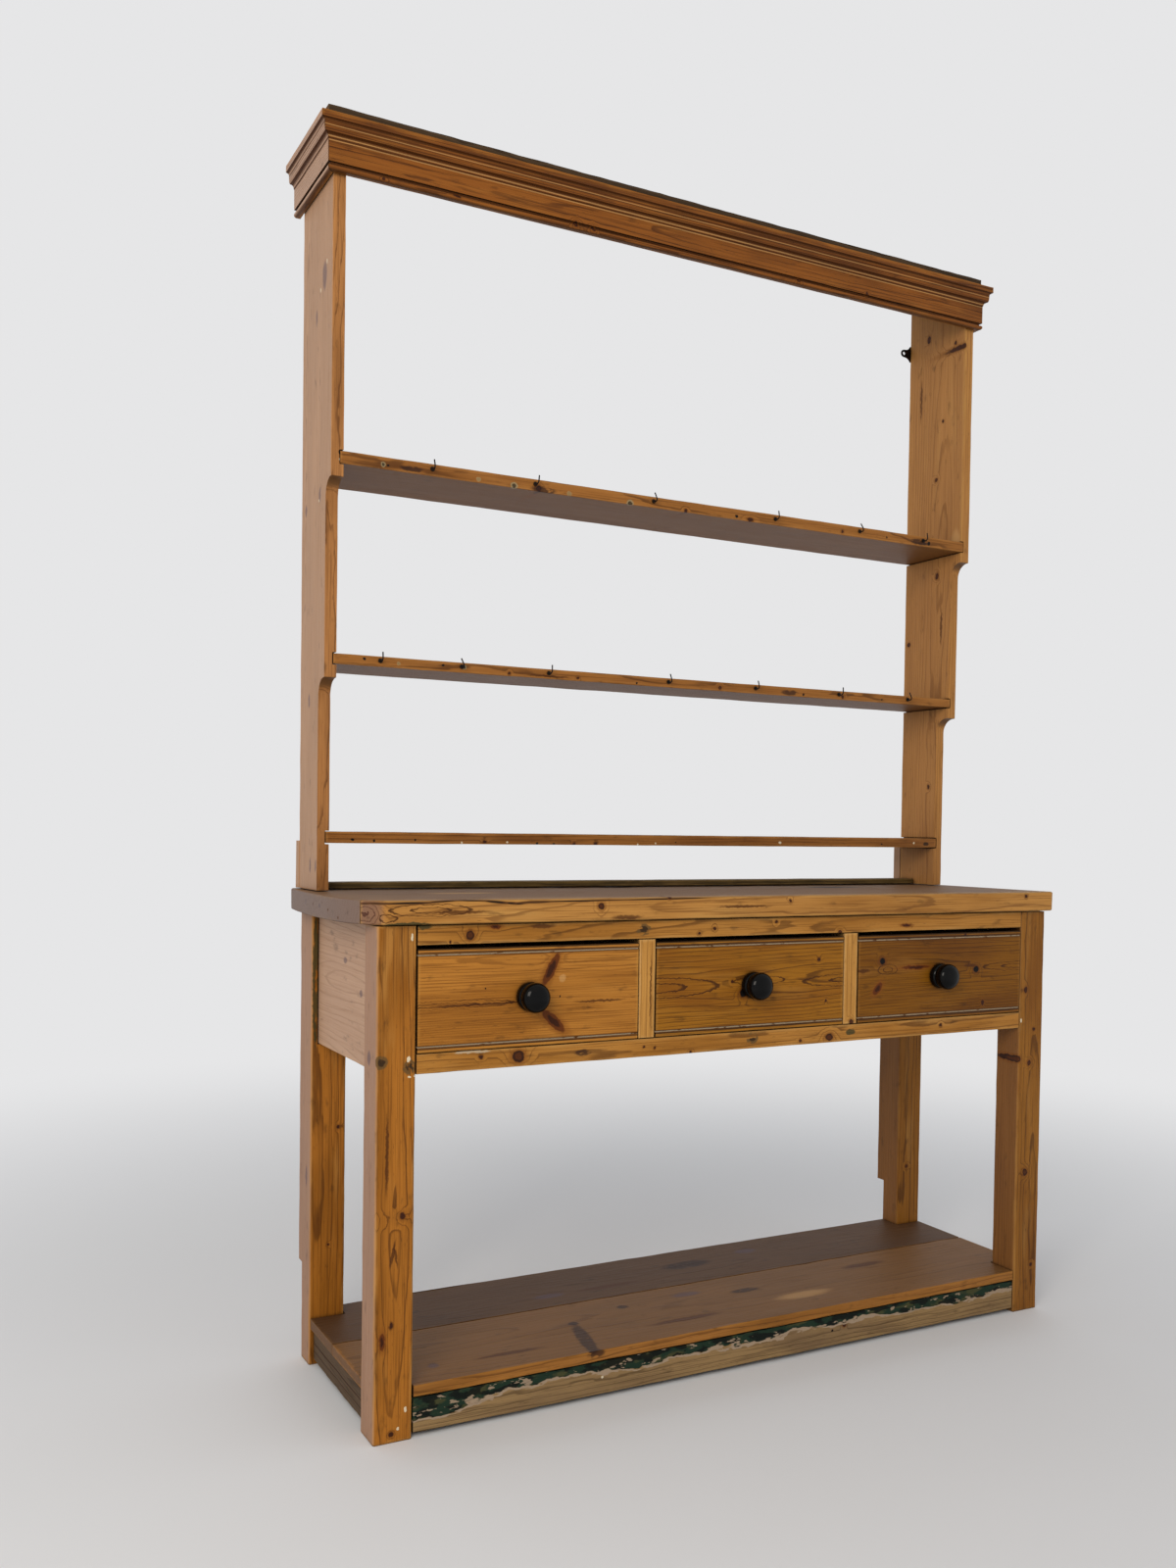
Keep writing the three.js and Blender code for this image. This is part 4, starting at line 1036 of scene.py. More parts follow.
INNER_PINE = PineTone("#b8935f", "#946b3a", "#a9834f", "#a98a62", "#c09c68", top="#a58458", under="#8f7148",
                      contrast=0.6, left_light_share=0.2, top_share=0.2, roughness=0.65)
TIE_PINE = PineTone("#54421f", "#22180c", "#3f3119", "#4a3a24", "#84683a", top="#7a6138", under="#33261a",
                    roughness=0.6)


@dataclass(frozen=True)
class Board:
    """One board: its tone, how it was sawn, its marks, and what lies over the wood."""

    tone: PineTone
    cut: Cut
    marks: tuple = ()
    paint: Optional[FlakingPaint] = None
    slot: str = ""              # its own, where it differs from its group's


@dataclass
class Joinery:
    """A group of boards that are worn alike and ride on one body."""

    boards: dict[str, Board]
    wear: Wear = Wear()
    slot: str = "old_pine"
    body: str = CARCASS

    def build(self) -> None:
        """Makes every board and dresses it."""
        for node, board in self.boards.items():
            piece = Bench.worn_board(node, board.cut, self.wear)
            surface = PineSurface(node + "_pine", board.tone, board.cut, *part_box(node))
            piece.data.materials.append(surface.build(board.marks, board.paint))
            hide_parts(node)
            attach(piece, self.body)
            log.info("%s: %d faces", piece.name, len(piece.data.polygons))


@dataclass
class HiddenJoinery:
    """Boards inside the carcass: they keep the frame's solids and only get bare, pale pine."""

    grains: dict[str, Grain]
    pith: tuple[float, float] = (30.0, 60.0)
    seed_step: float = 0.37

    def build(self) -> None:
        """Dresses every board."""
        for index, (node, grain) in enumerate(self.grains.items()):
            cut = Cut(grain, pith=self.pith, seed=self.seed_step * index)
            material = PineSurface(node + "_pine", INNER_PINE, cut, *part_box(node)).build()
            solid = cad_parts[node]
            solid.data.materials.clear()
            solid.data.materials.append(material)
            log.info("%s: bare pine", node)


def crack(width: float, *path: tuple[float, float]) -> tuple[Split, ...]:
    """Describes a crack along a path.

    Args:
        width: its width in millimetres.
        path: the pixels that it passes.

    Returns:
        One split for each stretch.
    """
    return tuple(Split(Kind.CRACK, start, end, width) for start, end in zip(path, path[1:]))


@dataclass
class Legs(Joinery):
    """The four legs of the base."""

    wear: Wear = Wear(arris=1.4, depth=1.8, keep_floor=True)
    boards: dict[str, Board] = field(default_factory=lambda: {
        "leg_front_left": Board(LEG_PINE, Cut(Grain.Z, (42, 4), 3.6, (1.2, 0.3), 15, 0.1, 2.2), (
            *Kind.KNOT.at((385, 1250, 6.5, 1.2), face=Face.LEFT), *Kind.SMALL_KNOT.at((411, 1241, 4.4, 1.3)),
            *Kind.BURR.at((388, 1084, 13, 1.1), face=Face.LEFT),
            *Kind.BURR.at((389, 1085, 11), (418, 1089, 11)), *Kind.SMALL_KNOT.at((399, 1464, 4)),
            *Kind.SPIKE_KNOT.at((390, 1370, 4.5, 3)),
            *Kind.STREAK.at((401, 1280, 2.4, 9, 12), (404, 1282, 2, 9, -10)),
            *Kind.SMALL_KNOT.at((399, 1353, 2.4, 2)),
            *Kind.FILLER.at((421, 956, 1.8, 3), (417, 1081, 3, 1.4), (418, 1099, 2.2), (423, 1098, 2),
                (414, 1438, 2, 2.4), (406, 1458, 2.4)),
            *Kind.BRUISE.at((376, 1080, 7, 1.6), face=Face.LEFT), *Kind.STREAK.at((395, 1180, 2.4, 24)),
        )),
        "leg_front_right": Board(LEG_RIGHT_SHADED_PINE, Cut(Grain.Z, (40, -10), 4, (1.1, -0.3), 15, 0.5, 2.2), (
            *Kind.KNOT.at((1039.4, 1081, 6.5), (1050.2, 1084.4, 5), (1046, 1196, 6, 1.2)),
            *Kind.SMALL_KNOT.at((1047, 1010, 4.4, 1.4), (1055, 1050, 3.4), (1052, 1290, 3.4)),
            *Kind.FILLER.at((1042.3, 1041.3, 2.6, 1.6), (1040.8, 942.5, 1.8, 2)),
        )),
        "leg_rear_left": Board(LEG_PINE, Cut(Grain.Z, (44, 20), 5, (0.6, 0.2), 14, 0.8, 2), (
            *Kind.GREEN_DIRT.at((322, 1000, 5, 24)), *Kind.SMALL_KNOT.at((345, 1150, 3.6)),
            *Kind.BRUISE.at((312, 1200, 6, 3), face=Face.LEFT), *Kind.SMALL_KNOT.at((335, 1270, 2.6)),
        )),
        "leg_rear_right": Board(LEG_RIGHT_SHADED_PINE, Cut(Grain.Z, (40, 20), 4, (0.7, 0.3), 14, 1.2, 2.2), (
            *Kind.KNOT.at((912, 1120, 4.4), (925, 1190, 3.8)), *Kind.FILLER.at((904, 1215, 2.6)),
        )),
    })


@dataclass
class DrawerFrame(Joinery):
    """The rails and dividers round the drawers, and the side panels."""

    wear: Wear = Wear(arris=1.2, depth=1.3)
    boards: dict[str, Board] = field(default_factory=lambda: {
        "rail_front_top": Board(RAIL_PINE, Cut(Grain.X, (40, -4), 5, (1, 0.5), 34, 1.5, 2.4), (
            *Kind.KNOT.at((480, 954.4, 7), (857.5, 951.3, 4)),
            *Kind.SMALL_KNOT.at((459.6, 961.5, 2), (713.8, 952.7, 2.6), (729.4, 947.4, 3),
                (792.4, 941, 2.8)),
            *Kind.SPIKE_KNOT.at((506, 946, 3, 3), (925, 944, 2.4, 5)), *Kind.STREAK.at((554, 945, 3.6, 6)),
            *Kind.BURR.at((657, 948.5, 10, 1.5)), *Kind.GREEN_DIRT.at((415, 946, 6, 7)),
        )),
        "rail_front_lower": Board(RAIL_PINE, Cut(Grain.X, (44, 4), 5.5, (1.2, -0.5), 34, 1.9, 2.4), (
            *Kind.KNOT.at((529, 1078, 9.5, 1.15), (846.4, 1058.3, 6.4, 1.3), (817, 1062, 3)),
            *Kind.SMALL_KNOT.at((490.8, 1079, 3.4), (657, 1068, 2), (668, 1069, 2.2), (705, 1073.5, 2.8),
                (960, 1046, 3)),
            *Kind.STAIN.at((595, 1074, 5, 3)), *Kind.BURR.at((768, 1059.5, 10, 1.3)),
            *Kind.GREEN_DIRT.at((868, 1053, 6, 1.8)), *Kind.RESIDUE.at((482, 1073.5, 2.2, 14)),
        )),
        "divider_left": Board(DIVIDER_PINE, Cut(Grain.Z, (50, 40), 5, (0, 0.4), 8, 2.2, 1.6), (
            *Kind.PALE.at((652, 1010, 3, 30)), *Kind.STREAK.at((664, 1010, 1.4, 40)),
        )),
        "divider_right": Board(DIVIDER_PINE, Cut(Grain.Z, (50, -40), 5, (0, 0.4), 8, 2.6, 1.6), (
            *Kind.KNOT.at((868.7, 1042.8, 4.6)), *Kind.PALE.at((861, 1000, 3, 26)),
        )),
        "side_panel_left": Board(PANEL_PINE, Cut(Grain.Y, (-50, 0), 9, (1.6, 0.5), 50, 2.9), (
            *Kind.BRUISE.at((368, 1014, 5, 1.4), (352, 980, 5, 2), face=Face.LEFT),
        )),
        "side_panel_right": Board(PANEL_PINE, Cut(Grain.Y, (50, 0), 9, (1.6, 0.5), 50, 3.3)),
    })


@dataclass
class BaseTop(Joinery):
    """The top of the base: its main board, and the lipping with its long crack."""

    wear: Wear = Wear(arris=1.6, depth=1.8, lump=48.0)
    boards: dict[str, Board] = field(default_factory=lambda: {
        "base_top": Board(TOP_PINE, Cut(Grain.X, (60, 130), 8, (0, 0.6), 70, 4.1), (
            *Kind.BRUISE.at((309, 920, 5), (325, 924, 4), face=Face.LEFT),
            *Kind.STAIN.at((620, 905, 24, 2.4), (850, 905, 30, 2), face=Face.TOP),
            *Kind.PALE.at((470, 911, 20, 3), face=Face.TOP),
            *Kind.SMALL_KNOT.at((318, 922, 2), (334, 929, 1.8), (342, 936, 1.8), face=Face.LEFT),
            *Kind.STREAK.at((328, 921, 1.6, 9), face=Face.LEFT),
        ), slot="scrubbed_pine"),
        "base_top_lipping": Board(LIPPING_PINE, Cut(Grain.X, (46, 2), 5, (1.3, 0.4), 30, 4.5, 2.4), (
            *crack(3, (370, 926), (376, 923.6), (382, 922.5), (397, 922.2), (440, 921.2)),
            *crack(1.9, (440, 920.6), (468, 919), (500, 919.3)),
            *crack(3.4, (498, 919.8), (520, 921.5), (529, 922.1), (539, 920.8), (560, 920.1)),
            *crack(2.2, (556, 920.1), (640, 918.3), (720, 916.3)), *Kind.END_RINGS.at((374, 934, 21, 1.1)),
            *Kind.GREEN_DIRT.at((416, 944, 4, 10)), *Kind.GRAIN_LOOP.at((372, 938, 9, 6), (440, 929, 10, 7)),
            *Kind.KNOT.at((614, 925, 5.6)),
            *Kind.SMALL_KNOT.at((684, 916, 3.2), (807, 919, 3), (1047.6, 914.6, 3.4)),
            *Kind.STREAK.at((640, 936, 3.4, 8), (470, 931, 2.6, 16), (760, 925, 2, 26)),
        )),
    })


@dataclass
class PotBoard(Joinery):
    """The two boards near the floor."""

    wear: Wear = Wear(arris=1.8, depth=2.6, lump=60.0)
    slot: str = "scrubbed_pine"
    boards: dict[str, Board] = field(default_factory=lambda: {
        "pot_board_front": Board(POT_PINE, Cut(Grain.X, (20, 60), 9, (0.3, 1.2), 60, 5.2), (
            *Kind.STAIN.at((597, 1366, 13, 5.4, 78), face=Face.TOP), *Kind.STAIN.at((609, 1381, 8, 2)),
            *Kind.STAIN.at((585, 1350, 8, 1.2), (635, 1333, 8, 1.4), (580, 1309, 8, 1.4), face=Face.TOP),
            *Kind.BRUISE.at((442, 1393, 8, 1.2), (700, 1320, 10, 3), face=Face.TOP),
            *Kind.STAIN.at((760, 1316, 10, 3), face=Face.TOP),
            *Kind.STREAK.at((880, 1290, 10, 5), (700, 1345, 8, 9), (520, 1380, 6, 10), face=Face.TOP),
            *Kind.PALE.at((820, 1320, 14, 4), face=Face.TOP),
        )),
        "pot_board_rear": Board(POT_REAR_PINE, Cut(Grain.X, (-30, 60), 9, (0.3, 1), 60, 5.6), (
            *Kind.STAIN.at((700, 1290, 18, 3), face=Face.TOP),
            *Kind.BRUISE.at((560, 1322, 10, 3), (760, 1276, 12, 2), face=Face.TOP),
            *Kind.STREAK.at((620, 1312, 8, 8), face=Face.TOP),
        )),
    })


@dataclass
class PotRails(Joinery):
    """The rails under the pot board."""

    wear: Wear = Wear(arris=1.6, depth=3.0, lump=36.0, step=22.0)
    slot: str = "weathered_pine"
    boards: dict[str, Board] = field(default_factory=lambda: {
        "pot_rail_front": Board(WEATHERED_PINE, Cut(Grain.X, (46, 20), 5, (0.5, 0.4), 20, 6.1), (
            *Kind.HOLE.at((476, 1422, 3), (500, 1400, 2), (850, 1358, 2)),
            *Kind.GRIME.at((540, 1400, 5, 8), (680, 1379, 4, 7)), *Kind.PLUG.at((498, 1419, 12)),
            *Kind.FILLER.at((615, 1406, 2.4)), *Kind.SMALL_KNOT.at((862, 1352, 4)),
        ), FlakingPaint()),
        "pot_rail_rear": Board(WEATHERED_PINE, Cut(Grain.X, (46, 20), 5, (0.5, 0.4), 20, 6.4)),
        "pot_rail_left": Board(WEATHERED_SIDE_PINE, Cut(Grain.Y, (-46, 20), 5, (0.5, 0.4), 20, 6.7),
            Kind.CRACK.along((30, 2.4), (16, 1.6))),
        "pot_rail_right": Board(WEATHERED_PINE, Cut(Grain.Y, (46, 20), 5, (0.5, 0.4), 20, 6.9)),
    })


@dataclass
class PlateRack(Joinery):
    """Stiles, shelves and wall packers."""

    wear: Wear = Wear(arris=1.1, depth=1.5, lump=50.0)
    boards: dict[str, Board] = field(default_factory=lambda: {
        "stile_left": Board(STILE_PINE, Cut(Grain.Z, (60, 24), 3, (1.6, 0.5), 26, 7.1, 4.4), (
            *Kind.BRUISE.at((331, 281, 12, 1.9), (323, 325, 4, 3.4), (326, 505, 6, 2), (316, 883, 5, 2.6),
                (321.5, 883, 4, 2.6), face=Face.LEFT),
            *Kind.FILLER.at((327, 296, 2.6, 1.6), (333.5, 266, 2.2, 2), (325, 511, 2.4), face=Face.LEFT),
            *Kind.BRUISE.at((312, 522, 6, 1.6), (315, 715, 5, 2.4), face=Face.LEFT),
            *Kind.KNOT.at((331, 903, 6), face=Face.LEFT), *Kind.HOLE.at((339, 714, 2), (347, 461, 2.4, 1.6)),
            *Kind.FILLER.at((347.5, 468, 2.4)), *Kind.SMALL_KNOT.at((334, 691, 2.4)),
            *Kind.FILLER.at((337.5, 692, 2), (334.5, 880.5, 2.4)),
        )),
        "stile_right": Board(STILE_INNER_PINE, Cut(Grain.Z, (-20, 70), 5.5, (0.3, 0.4), 30, 7.6, 2.8), (
            *Kind.KNOT.at((948, 347, 5, 1.5), (956, 588, 5, 1.3), (955, 490, 4.4),
                (927, 658, 4.4), face=Face.LEFT),
            *Kind.SMALL_KNOT.at((947, 803, 4, 1.2), (975, 350, 4), face=Face.LEFT),
            *Kind.PALE.at((975, 550, 12, 1.6), face=Face.LEFT), *Kind.SMALL_KNOT.at((985, 352, 4, 1.4)),
            *Kind.SMALL_KNOT.at((962, 430, 3), (957, 885, 4), face=Face.LEFT),
            *Kind.STREAK.at((940, 410, 3, 14), (960, 640, 3, 12), face=Face.LEFT),
        )),
        "shelf_top": Board(SHELF_PINE, Cut(Grain.X, (44, 6), 3.6, (0.6, 0.3), 20, 8, 2.4), (
            *Kind.BUNG.at((391, 474, 4.6), (524.9, 496, 7), (643, 513.5, 7)),
            *Kind.HOLE.at((396, 475, 2), (752, 527, 3.4), (905, 548, 2.2), (948, 555, 4.4)),
            *Kind.PLUG.at((488.5, 489, 4), (581, 504, 4)), *Kind.KNOT.at((550, 498.6, 5)),
            *Kind.SMALL_KNOT.at((700, 521, 3.4), (766, 530, 3.4, 2), (860, 542, 2.6)),
            *Kind.STAIN.at((938, 553, 6, 4), (555, 500, 6, 4), (420, 478, 5, 4)),
        )),
        "shelf_middle": Board(SHELF_PINE, Cut(Grain.X, (40, 10), 3.6, (0.5, 0.3), 18, 8.4, 2.4), (
            *Kind.HOLE.at((372, 672, 2), (452, 679, 2.4), (650, 697, 2.2), (820, 709, 2.4), (900, 714, 2)),
            *Kind.PLUG.at((407, 677, 3)), *Kind.SMALL_KNOT.at((520, 687, 2.6), (590, 692, 2.4)),
            *Kind.KNOT.at((735, 702, 3.4), (860, 711, 3.2)), *Kind.STAIN.at((806, 707, 5, 4)),
            *Kind.BUNG.at((474, 681, 4.4)), *Kind.STREAK.at((560, 690, 2, 20)),
        )),
        "shelf_low": Board(SHELF_PINE, Cut(Grain.X, (30, -50), 4, (0.2, 0.3), 18, 8.8, 2.4), (
            *Kind.HOLE.at((360, 857, 2.4, 1.6), (382, 858, 2.2), (424, 857, 2), (548, 861, 2.2),
                (565, 861, 2), (690, 860, 1.6), (900, 861, 1.6)),
            *Kind.FILLER.at((471, 859.5, 1.8), (518, 860, 2), (651, 862, 1.8), (669, 861, 1.6),
                (796, 860, 2.4, 1.6), (932.5, 860.5, 2.4)),
            *Kind.SMALL_KNOT.at((495, 859, 2.6, 1.6), (608, 861, 2.4, 1.6)), *Kind.KNOT.at((586, 861.5, 3)),
            *Kind.GRIME.at((945, 861, 4, 2)),
        )),
        "wall_packer_left": Board(STILE_PINE, Cut(Grain.Z, (20, 30), 5, seed=9.6)),
        "wall_packer_right": Board(STILE_PINE, Cut(Grain.Z, (20, 30), 5, seed=9.9)),
    })


# Dirt lies in the quirks between the cornice's members, and its edges are rubbed, at heights above its foot.
QUIRKS = Kind.STREAK.along((11.5, 3.4), (49.5, 3), (56, 2.6), (69.5, 2.8), (75, 2.6), (64, 1.2), (59, 1),
                           (53.6, 0.8))
RUBBED = Kind.PALE.along((52.5, 2), (66, 1.6), (47, 2))


@dataclass
class Cornice(Joinery):
    """The moulding, in three mitred lengths."""

    wear: Wear = Wear(arris=0.7, depth=1.2, lump=40.0, step=26.0)
    slot: str = "dark_pine"
    boards: dict[str, Board] = field(default_factory=lambda: {
        "cornice_front": Board(CORNICE_PINE, Cut(Grain.X, (40, -10), 4.4, (1.6, 0.4), 18, 10.1, 3), (
            *QUIRKS, *RUBBED, *Kind.FILLER.at((349, 145, 2.6), (349, 161, 3.2), (387, 181, 2.2)),
            *Kind.HOLE.at((352, 163, 2)), *Kind.STREAK.at((560, 222, 5, 9), (660, 245, 5, 7)),
            *Kind.KNOT.at((610, 230, 4.4), (592, 225, 5), (820, 283, 4)),
            *Kind.STAIN.at((600, 226, 8, 5), (760, 268, 6, 8)),
            *Kind.SMALL_KNOT.at((395, 178, 3), (470, 196, 2.4, 3), (890, 297, 3.4)),
        )),
        "cornice_return_left": Board(
            CORNICE_PINE, Cut(Grain.Y, (-20, 20), 4.6, (0.4, 0.4), 16, 10.5), QUIRKS),
        "cornice_return_right": Board(
            CORNICE_PINE, Cut(Grain.Y, (20, 20), 4.6, (0.4, 0.4), 16, 10.9), QUIRKS),
    })


@dataclass
class Cap(Joinery):
    """The cap board on the cornice, rough and dusty."""

    wear: Wear = Wear(arris=2.4, depth=4.5, lump=42.0, step=18.0, keep_floor=True)
    slot: str = "dark_pine"
    boards: dict[str, Board] = field(default_factory=lambda: {
        "rack_cap": Board(DUSTY_PINE, Cut(Grain.X, (30, 40), 5, (0.2, 0.5), 30, 11.2)),
    })


@dataclass
class TieRail(Joinery):
    """The rack's tie rail on the base top, dark but for its rubbed upper arris."""

    wear: Wear = Wear(arris=1.0, depth=1.0, lump=60.0, step=40.0)
    slot: str = "dark_pine"
    boards: dict[str, Board] = field(default_factory=lambda: {
        "rack_tie_rail": Board(TIE_PINE, Cut(Grain.X, (20, 20), 5, (0.2, 0.5), 20, 11.6)),
    })


@dataclass
class Knob:
    """A turned knob: a round collar, a shallow waist and a bun."""

    name: str
    facets: int = 64
    sharp: float = 60.0         # degrees from which an edge stays sharp
    # Each ring of the turning: how far it stands out of the drawer front, and its radius.
    collar: tuple[tuple[float, float], ...] = (
        (0.3, 22.6), (1.2, 23.4), (3.2, 24.0), (6.5, 24.0), (9.0, 23.6), (11.0, 22.6), (12.0, 21.6),
    )
    bun: tuple[tuple[float, float], ...] = (
        (12.8, 21.0), (14.2, 21.0), (15.4, 21.8), (17.5, 23.2), (20.5, 24.2), (25.0, 24.5), (29.0, 23.9),
        (32.5, 22.0), (35.4, 18.8), (37.6, 14.6), (38.9, 9.8), (39.7, 5.0),
    )

    def build(self) -> bpy.types.Object:
        """Turns the knob ring by ring out of a circle.

        Returns:
            The knob.
        """
        node = f"{self.name}_knob"
        low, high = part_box(node)
        middle = (low + high) / 2
        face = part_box(f"{self.name}_front")[0].y
        profile = [*self.collar, *self.bun]
        reach, radius = profile[0]
        bpy.ops.object.select_all(action="DESELECT")
        bpy.ops.mesh.primitive_circle_add(
            vertices=self.facets, radius=radius * MM, fill_type="NGON",
            location=(middle.x, face - reach * MM, middle.z), rotation=(math.pi / 2, 0.0, 0.0))
        piece = bpy.context.object
        piece.name = f"{self.name}_knob_turned"
        bpy.ops.object.transform_apply(location=True, rotation=True, scale=True)
        with Bench.at_work(piece):
            for next_reach, next_radius in profile[1:]:
                bpy.ops.mesh.extrude_region_move(
                    TRANSFORM_OT_translate={"value": (0.0, -(next_reach - reach) * MM, 0.0)})
                share = next_radius / radius
                bpy.ops.transform.resize(value=(share, 1.0, share),
                                         center_override=(middle.x, face - next_reach * MM, middle.z))
                reach, radius = next_reach, next_radius
            tip = face - low.y - reach * MM
            bpy.ops.mesh.extrude_region_move(TRANSFORM_OT_translate={"value": (0.0, -tip, 0.0)})
            bpy.ops.mesh.merge(type="CENTER")
            bpy.ops.mesh.select_all(action="SELECT")
            bpy.ops.mesh.normals_make_consistent(inside=False)
        Bench.apply(piece, "SUBSURF", levels=1, render_levels=1)
        Bench.smooth(piece, self.sharp)
        piece.data.materials.append(EBONISED_WOOD.build(f"{self.name}_knob_black"))
        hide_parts(node)
        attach(piece, self.name)
        return piece


@dataclass
class Drawer:
    """One drawer: a worn front with bead lines, a box of bare pine and a black knob."""

    name: str
    tone: PineTone
    cut: Cut
    marks: tuple = ()
    wear: Wear = Wear(arris=0.8, depth=0.9)
    bead: float = 9.5           # from an edge of the front to the middle of its bead line
    bead_shade: float = 7.0     # width of the shade along a bead
    bead_wax: float = 2.6       # width of the pale wax in it
    high_dirt: tuple[float, float] = (3.4, 1.8)     # beside the upper bead: its distance and width
    low_dirt: tuple[float, float] = (3.2, 2.2)      # beside the lower bead
    rim_shade: tuple[float, float] = (1.0, 4.0)      # along the upper edge: painted shade under the rail

    def build(self) -> None:
        """Makes the drawer's pieces."""
        node = f"{self.name}_front"
        low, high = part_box(node)
        height = (high.z - low.z) * PER_METRE
        bead, high_bead = self.bead, height - self.bead
        lines = (
            *Kind.STREAK.along((high_bead, self.bead_shade), (bead, self.bead_shade)),
            *Kind.RESIDUE.along((high_bead, self.bead_wax), (bead, self.bead_wax)),
            # Grime beside the beads, and painted shade along the upper edge under the rail.
            *Kind.GRIME.along((high_bead + self.high_dirt[0], self.high_dirt[1]),
                              (bead - self.low_dirt[0], self.low_dirt[1]),
                              (height - self.rim_shade[0], self.rim_shade[1])),
        )
        front = Board(self.tone, self.cut, (*self.marks, *lines))
        Joinery({node: front}, self.wear, body=self.name).build()
        HiddenJoinery({
            f"{self.name}_side_left": Grain.Y, f"{self.name}_side_right": Grain.Y,
            f"{self.name}_back": Grain.X, f"{self.name}_bottom": Grain.X,
        }).build()
        turned = Knob(self.name).build()
        log.info("%s: turned", turned.name)


@dataclass
class CupHooks:
    """Thirteen iron cup hooks screwed into the shelf edges, their tips above the shelves."""

    wire: float = 2.4
    collar: float = 8.0
    collar_thickness: float = 1.4
    raised: float = 1.5         # above the middle of the shelf's edge
    shank: float = 3.0
    dip: float = 4.0            # radius of the bend down
    bowl: float = 4.6           # radius of the bend up
    fall: float = 35.0          # degrees that the wire turns down
    rise: float = 145.0         # degrees that it turns up again
    tip: float = 10.0
    facets: int = 10
    fall_steps: int = 4
    rise_steps: int = 14
    collar_facets: int = 16
    arris: float = 0.5
    sharp: float = 40.0         # degrees from which an edge stays sharp
    turns: tuple[float, ...] = (0, 14, -12, 6, -18, 10, -6)     # degrees that the hooks hang askew
    turns_apart: int = 3        # how far on in them each shelf starts
    # Places along the shelves, from the middle of the dresser.
    places: dict[str, tuple[float, ...]] = field(default_factory=lambda: {
        "shelf_top": (-520, -326, -83, 192, 400, 567),
        "shelf_middle": (-599, -450, -280, -27, 173, 379, 560),
    })

    def bent(self, start: Vector) -> bpy.types.Object:
        """Bends one hook from a disc of wire: out of the wood, down, and up in a round bowl.

        Args:
            start: where it comes out of the shelf's edge, in metres.

        Returns:
            The hook.
        """
        bpy.ops.object.select_all(action="DESELECT")
        bpy.ops.mesh.primitive_circle_add(vertices=self.facets, radius=self.wire / 2 * MM, fill_type="NGON",
                                          location=start, rotation=(math.pi / 2, 0.0, 0.0))
        piece = bpy.context.object
        bpy.ops.object.transform_apply(location=True, rotation=True, scale=True)
        fall, rise = math.radians(self.fall), math.radians(self.rise)
        out = start + Vector((0.0, -self.shank * MM, 0.0))
        turning = out + Vector((0.0, 0.0, -self.dip * MM))
        low = turning + Vector((0.0, -math.sin(fall), math.cos(fall))) * self.dip * MM
        centre = low + Vector((0.0, -math.sin(fall), math.cos(fall))) * self.bowl * MM
        way = rise - fall
        with Bench.at_work(piece):
            bpy.ops.mesh.extrude_region_move(TRANSFORM_OT_translate={"value": out - start})
            # The spin tool turns the other way round its axis than a rotation does.
            bpy.ops.mesh.spin(steps=self.fall_steps, angle=-fall, center=turning, axis=(1.0, 0.0, 0.0))
            bpy.ops.mesh.spin(steps=self.rise_steps, angle=rise, center=centre, axis=(1.0, 0.0, 0.0))
            direction = Vector((0.0, -math.cos(way), math.sin(way)))
            bpy.ops.mesh.extrude_region_move(TRANSFORM_OT_translate={"value": direction * self.tip * MM})
            bpy.ops.mesh.select_all(action="SELECT")
            bpy.ops.mesh.remove_doubles(threshold=WELD)
            bpy.ops.mesh.normals_make_consistent(inside=False)
        return piece

    def with_collar(self, hook: bpy.types.Object, start: Vector) -> None:
        """Adds the round collar where the hook meets the wood.

        Args:
            hook: the bent hook.
            start: where it comes out of the shelf's edge, in metres.
        """
        bpy.ops.object.select_all(action="DESELECT")
        bpy.ops.mesh.primitive_cylinder_add(
            vertices=self.collar_facets, radius=self.collar / 2 * MM, depth=self.collar_thickness * MM,
            location=start - Vector((0.0, self.collar_thickness / 2 * MM, 0.0)),
            rotation=(math.pi / 2, 0.0, 0.0))
        collar = bpy.context.object
        bpy.ops.object.transform_apply(location=True, rotation=True, scale=True)
        Bench.apply(collar, "BEVEL", width=self.arris * MM, segments=Bench.SEGMENTS)
        Bench.apply(hook, "BOOLEAN", object=collar, operation="UNION", solver="EXACT")
        bpy.data.objects.remove(collar)
        Bench.smooth(hook, self.sharp)

    def build(self) -> None:
        """Makes one hook and copies it to every place."""
        start = Vector((0.0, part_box("shelf_top")[0].y, 0.0))
        hook = self.bent(start)
        self.with_collar(hook, start)
        hook.data.materials.append(BLACK_IRON.build("hook_iron"))
        for row, (shelf, places) in enumerate(self.places.items()):
            low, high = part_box(shelf)
            height = (low.z + high.z) / 2 + self.raised * MM
            for index, place in enumerate(places):
                copy = bpy.data.objects.new(f"cup_hook_{shelf}_{index + 1}", hook.data.copy())
                bpy.context.scene.collection.objects.link(copy)
                askew = math.radians(self.turns[(index + self.turns_apart * row) % len(self.turns)])
                move = Matrix.Translation((place * MM, low.y, height)) @ Matrix.Rotation(askew, 4, "Y")
                copy.data.transform(move @ Matrix.Translation(-start))
                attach(copy, CARCASS)
        bpy.data.objects.remove(hook)
        log.info("cup hooks: %d", sum(len(places) for places in self.places.values()))


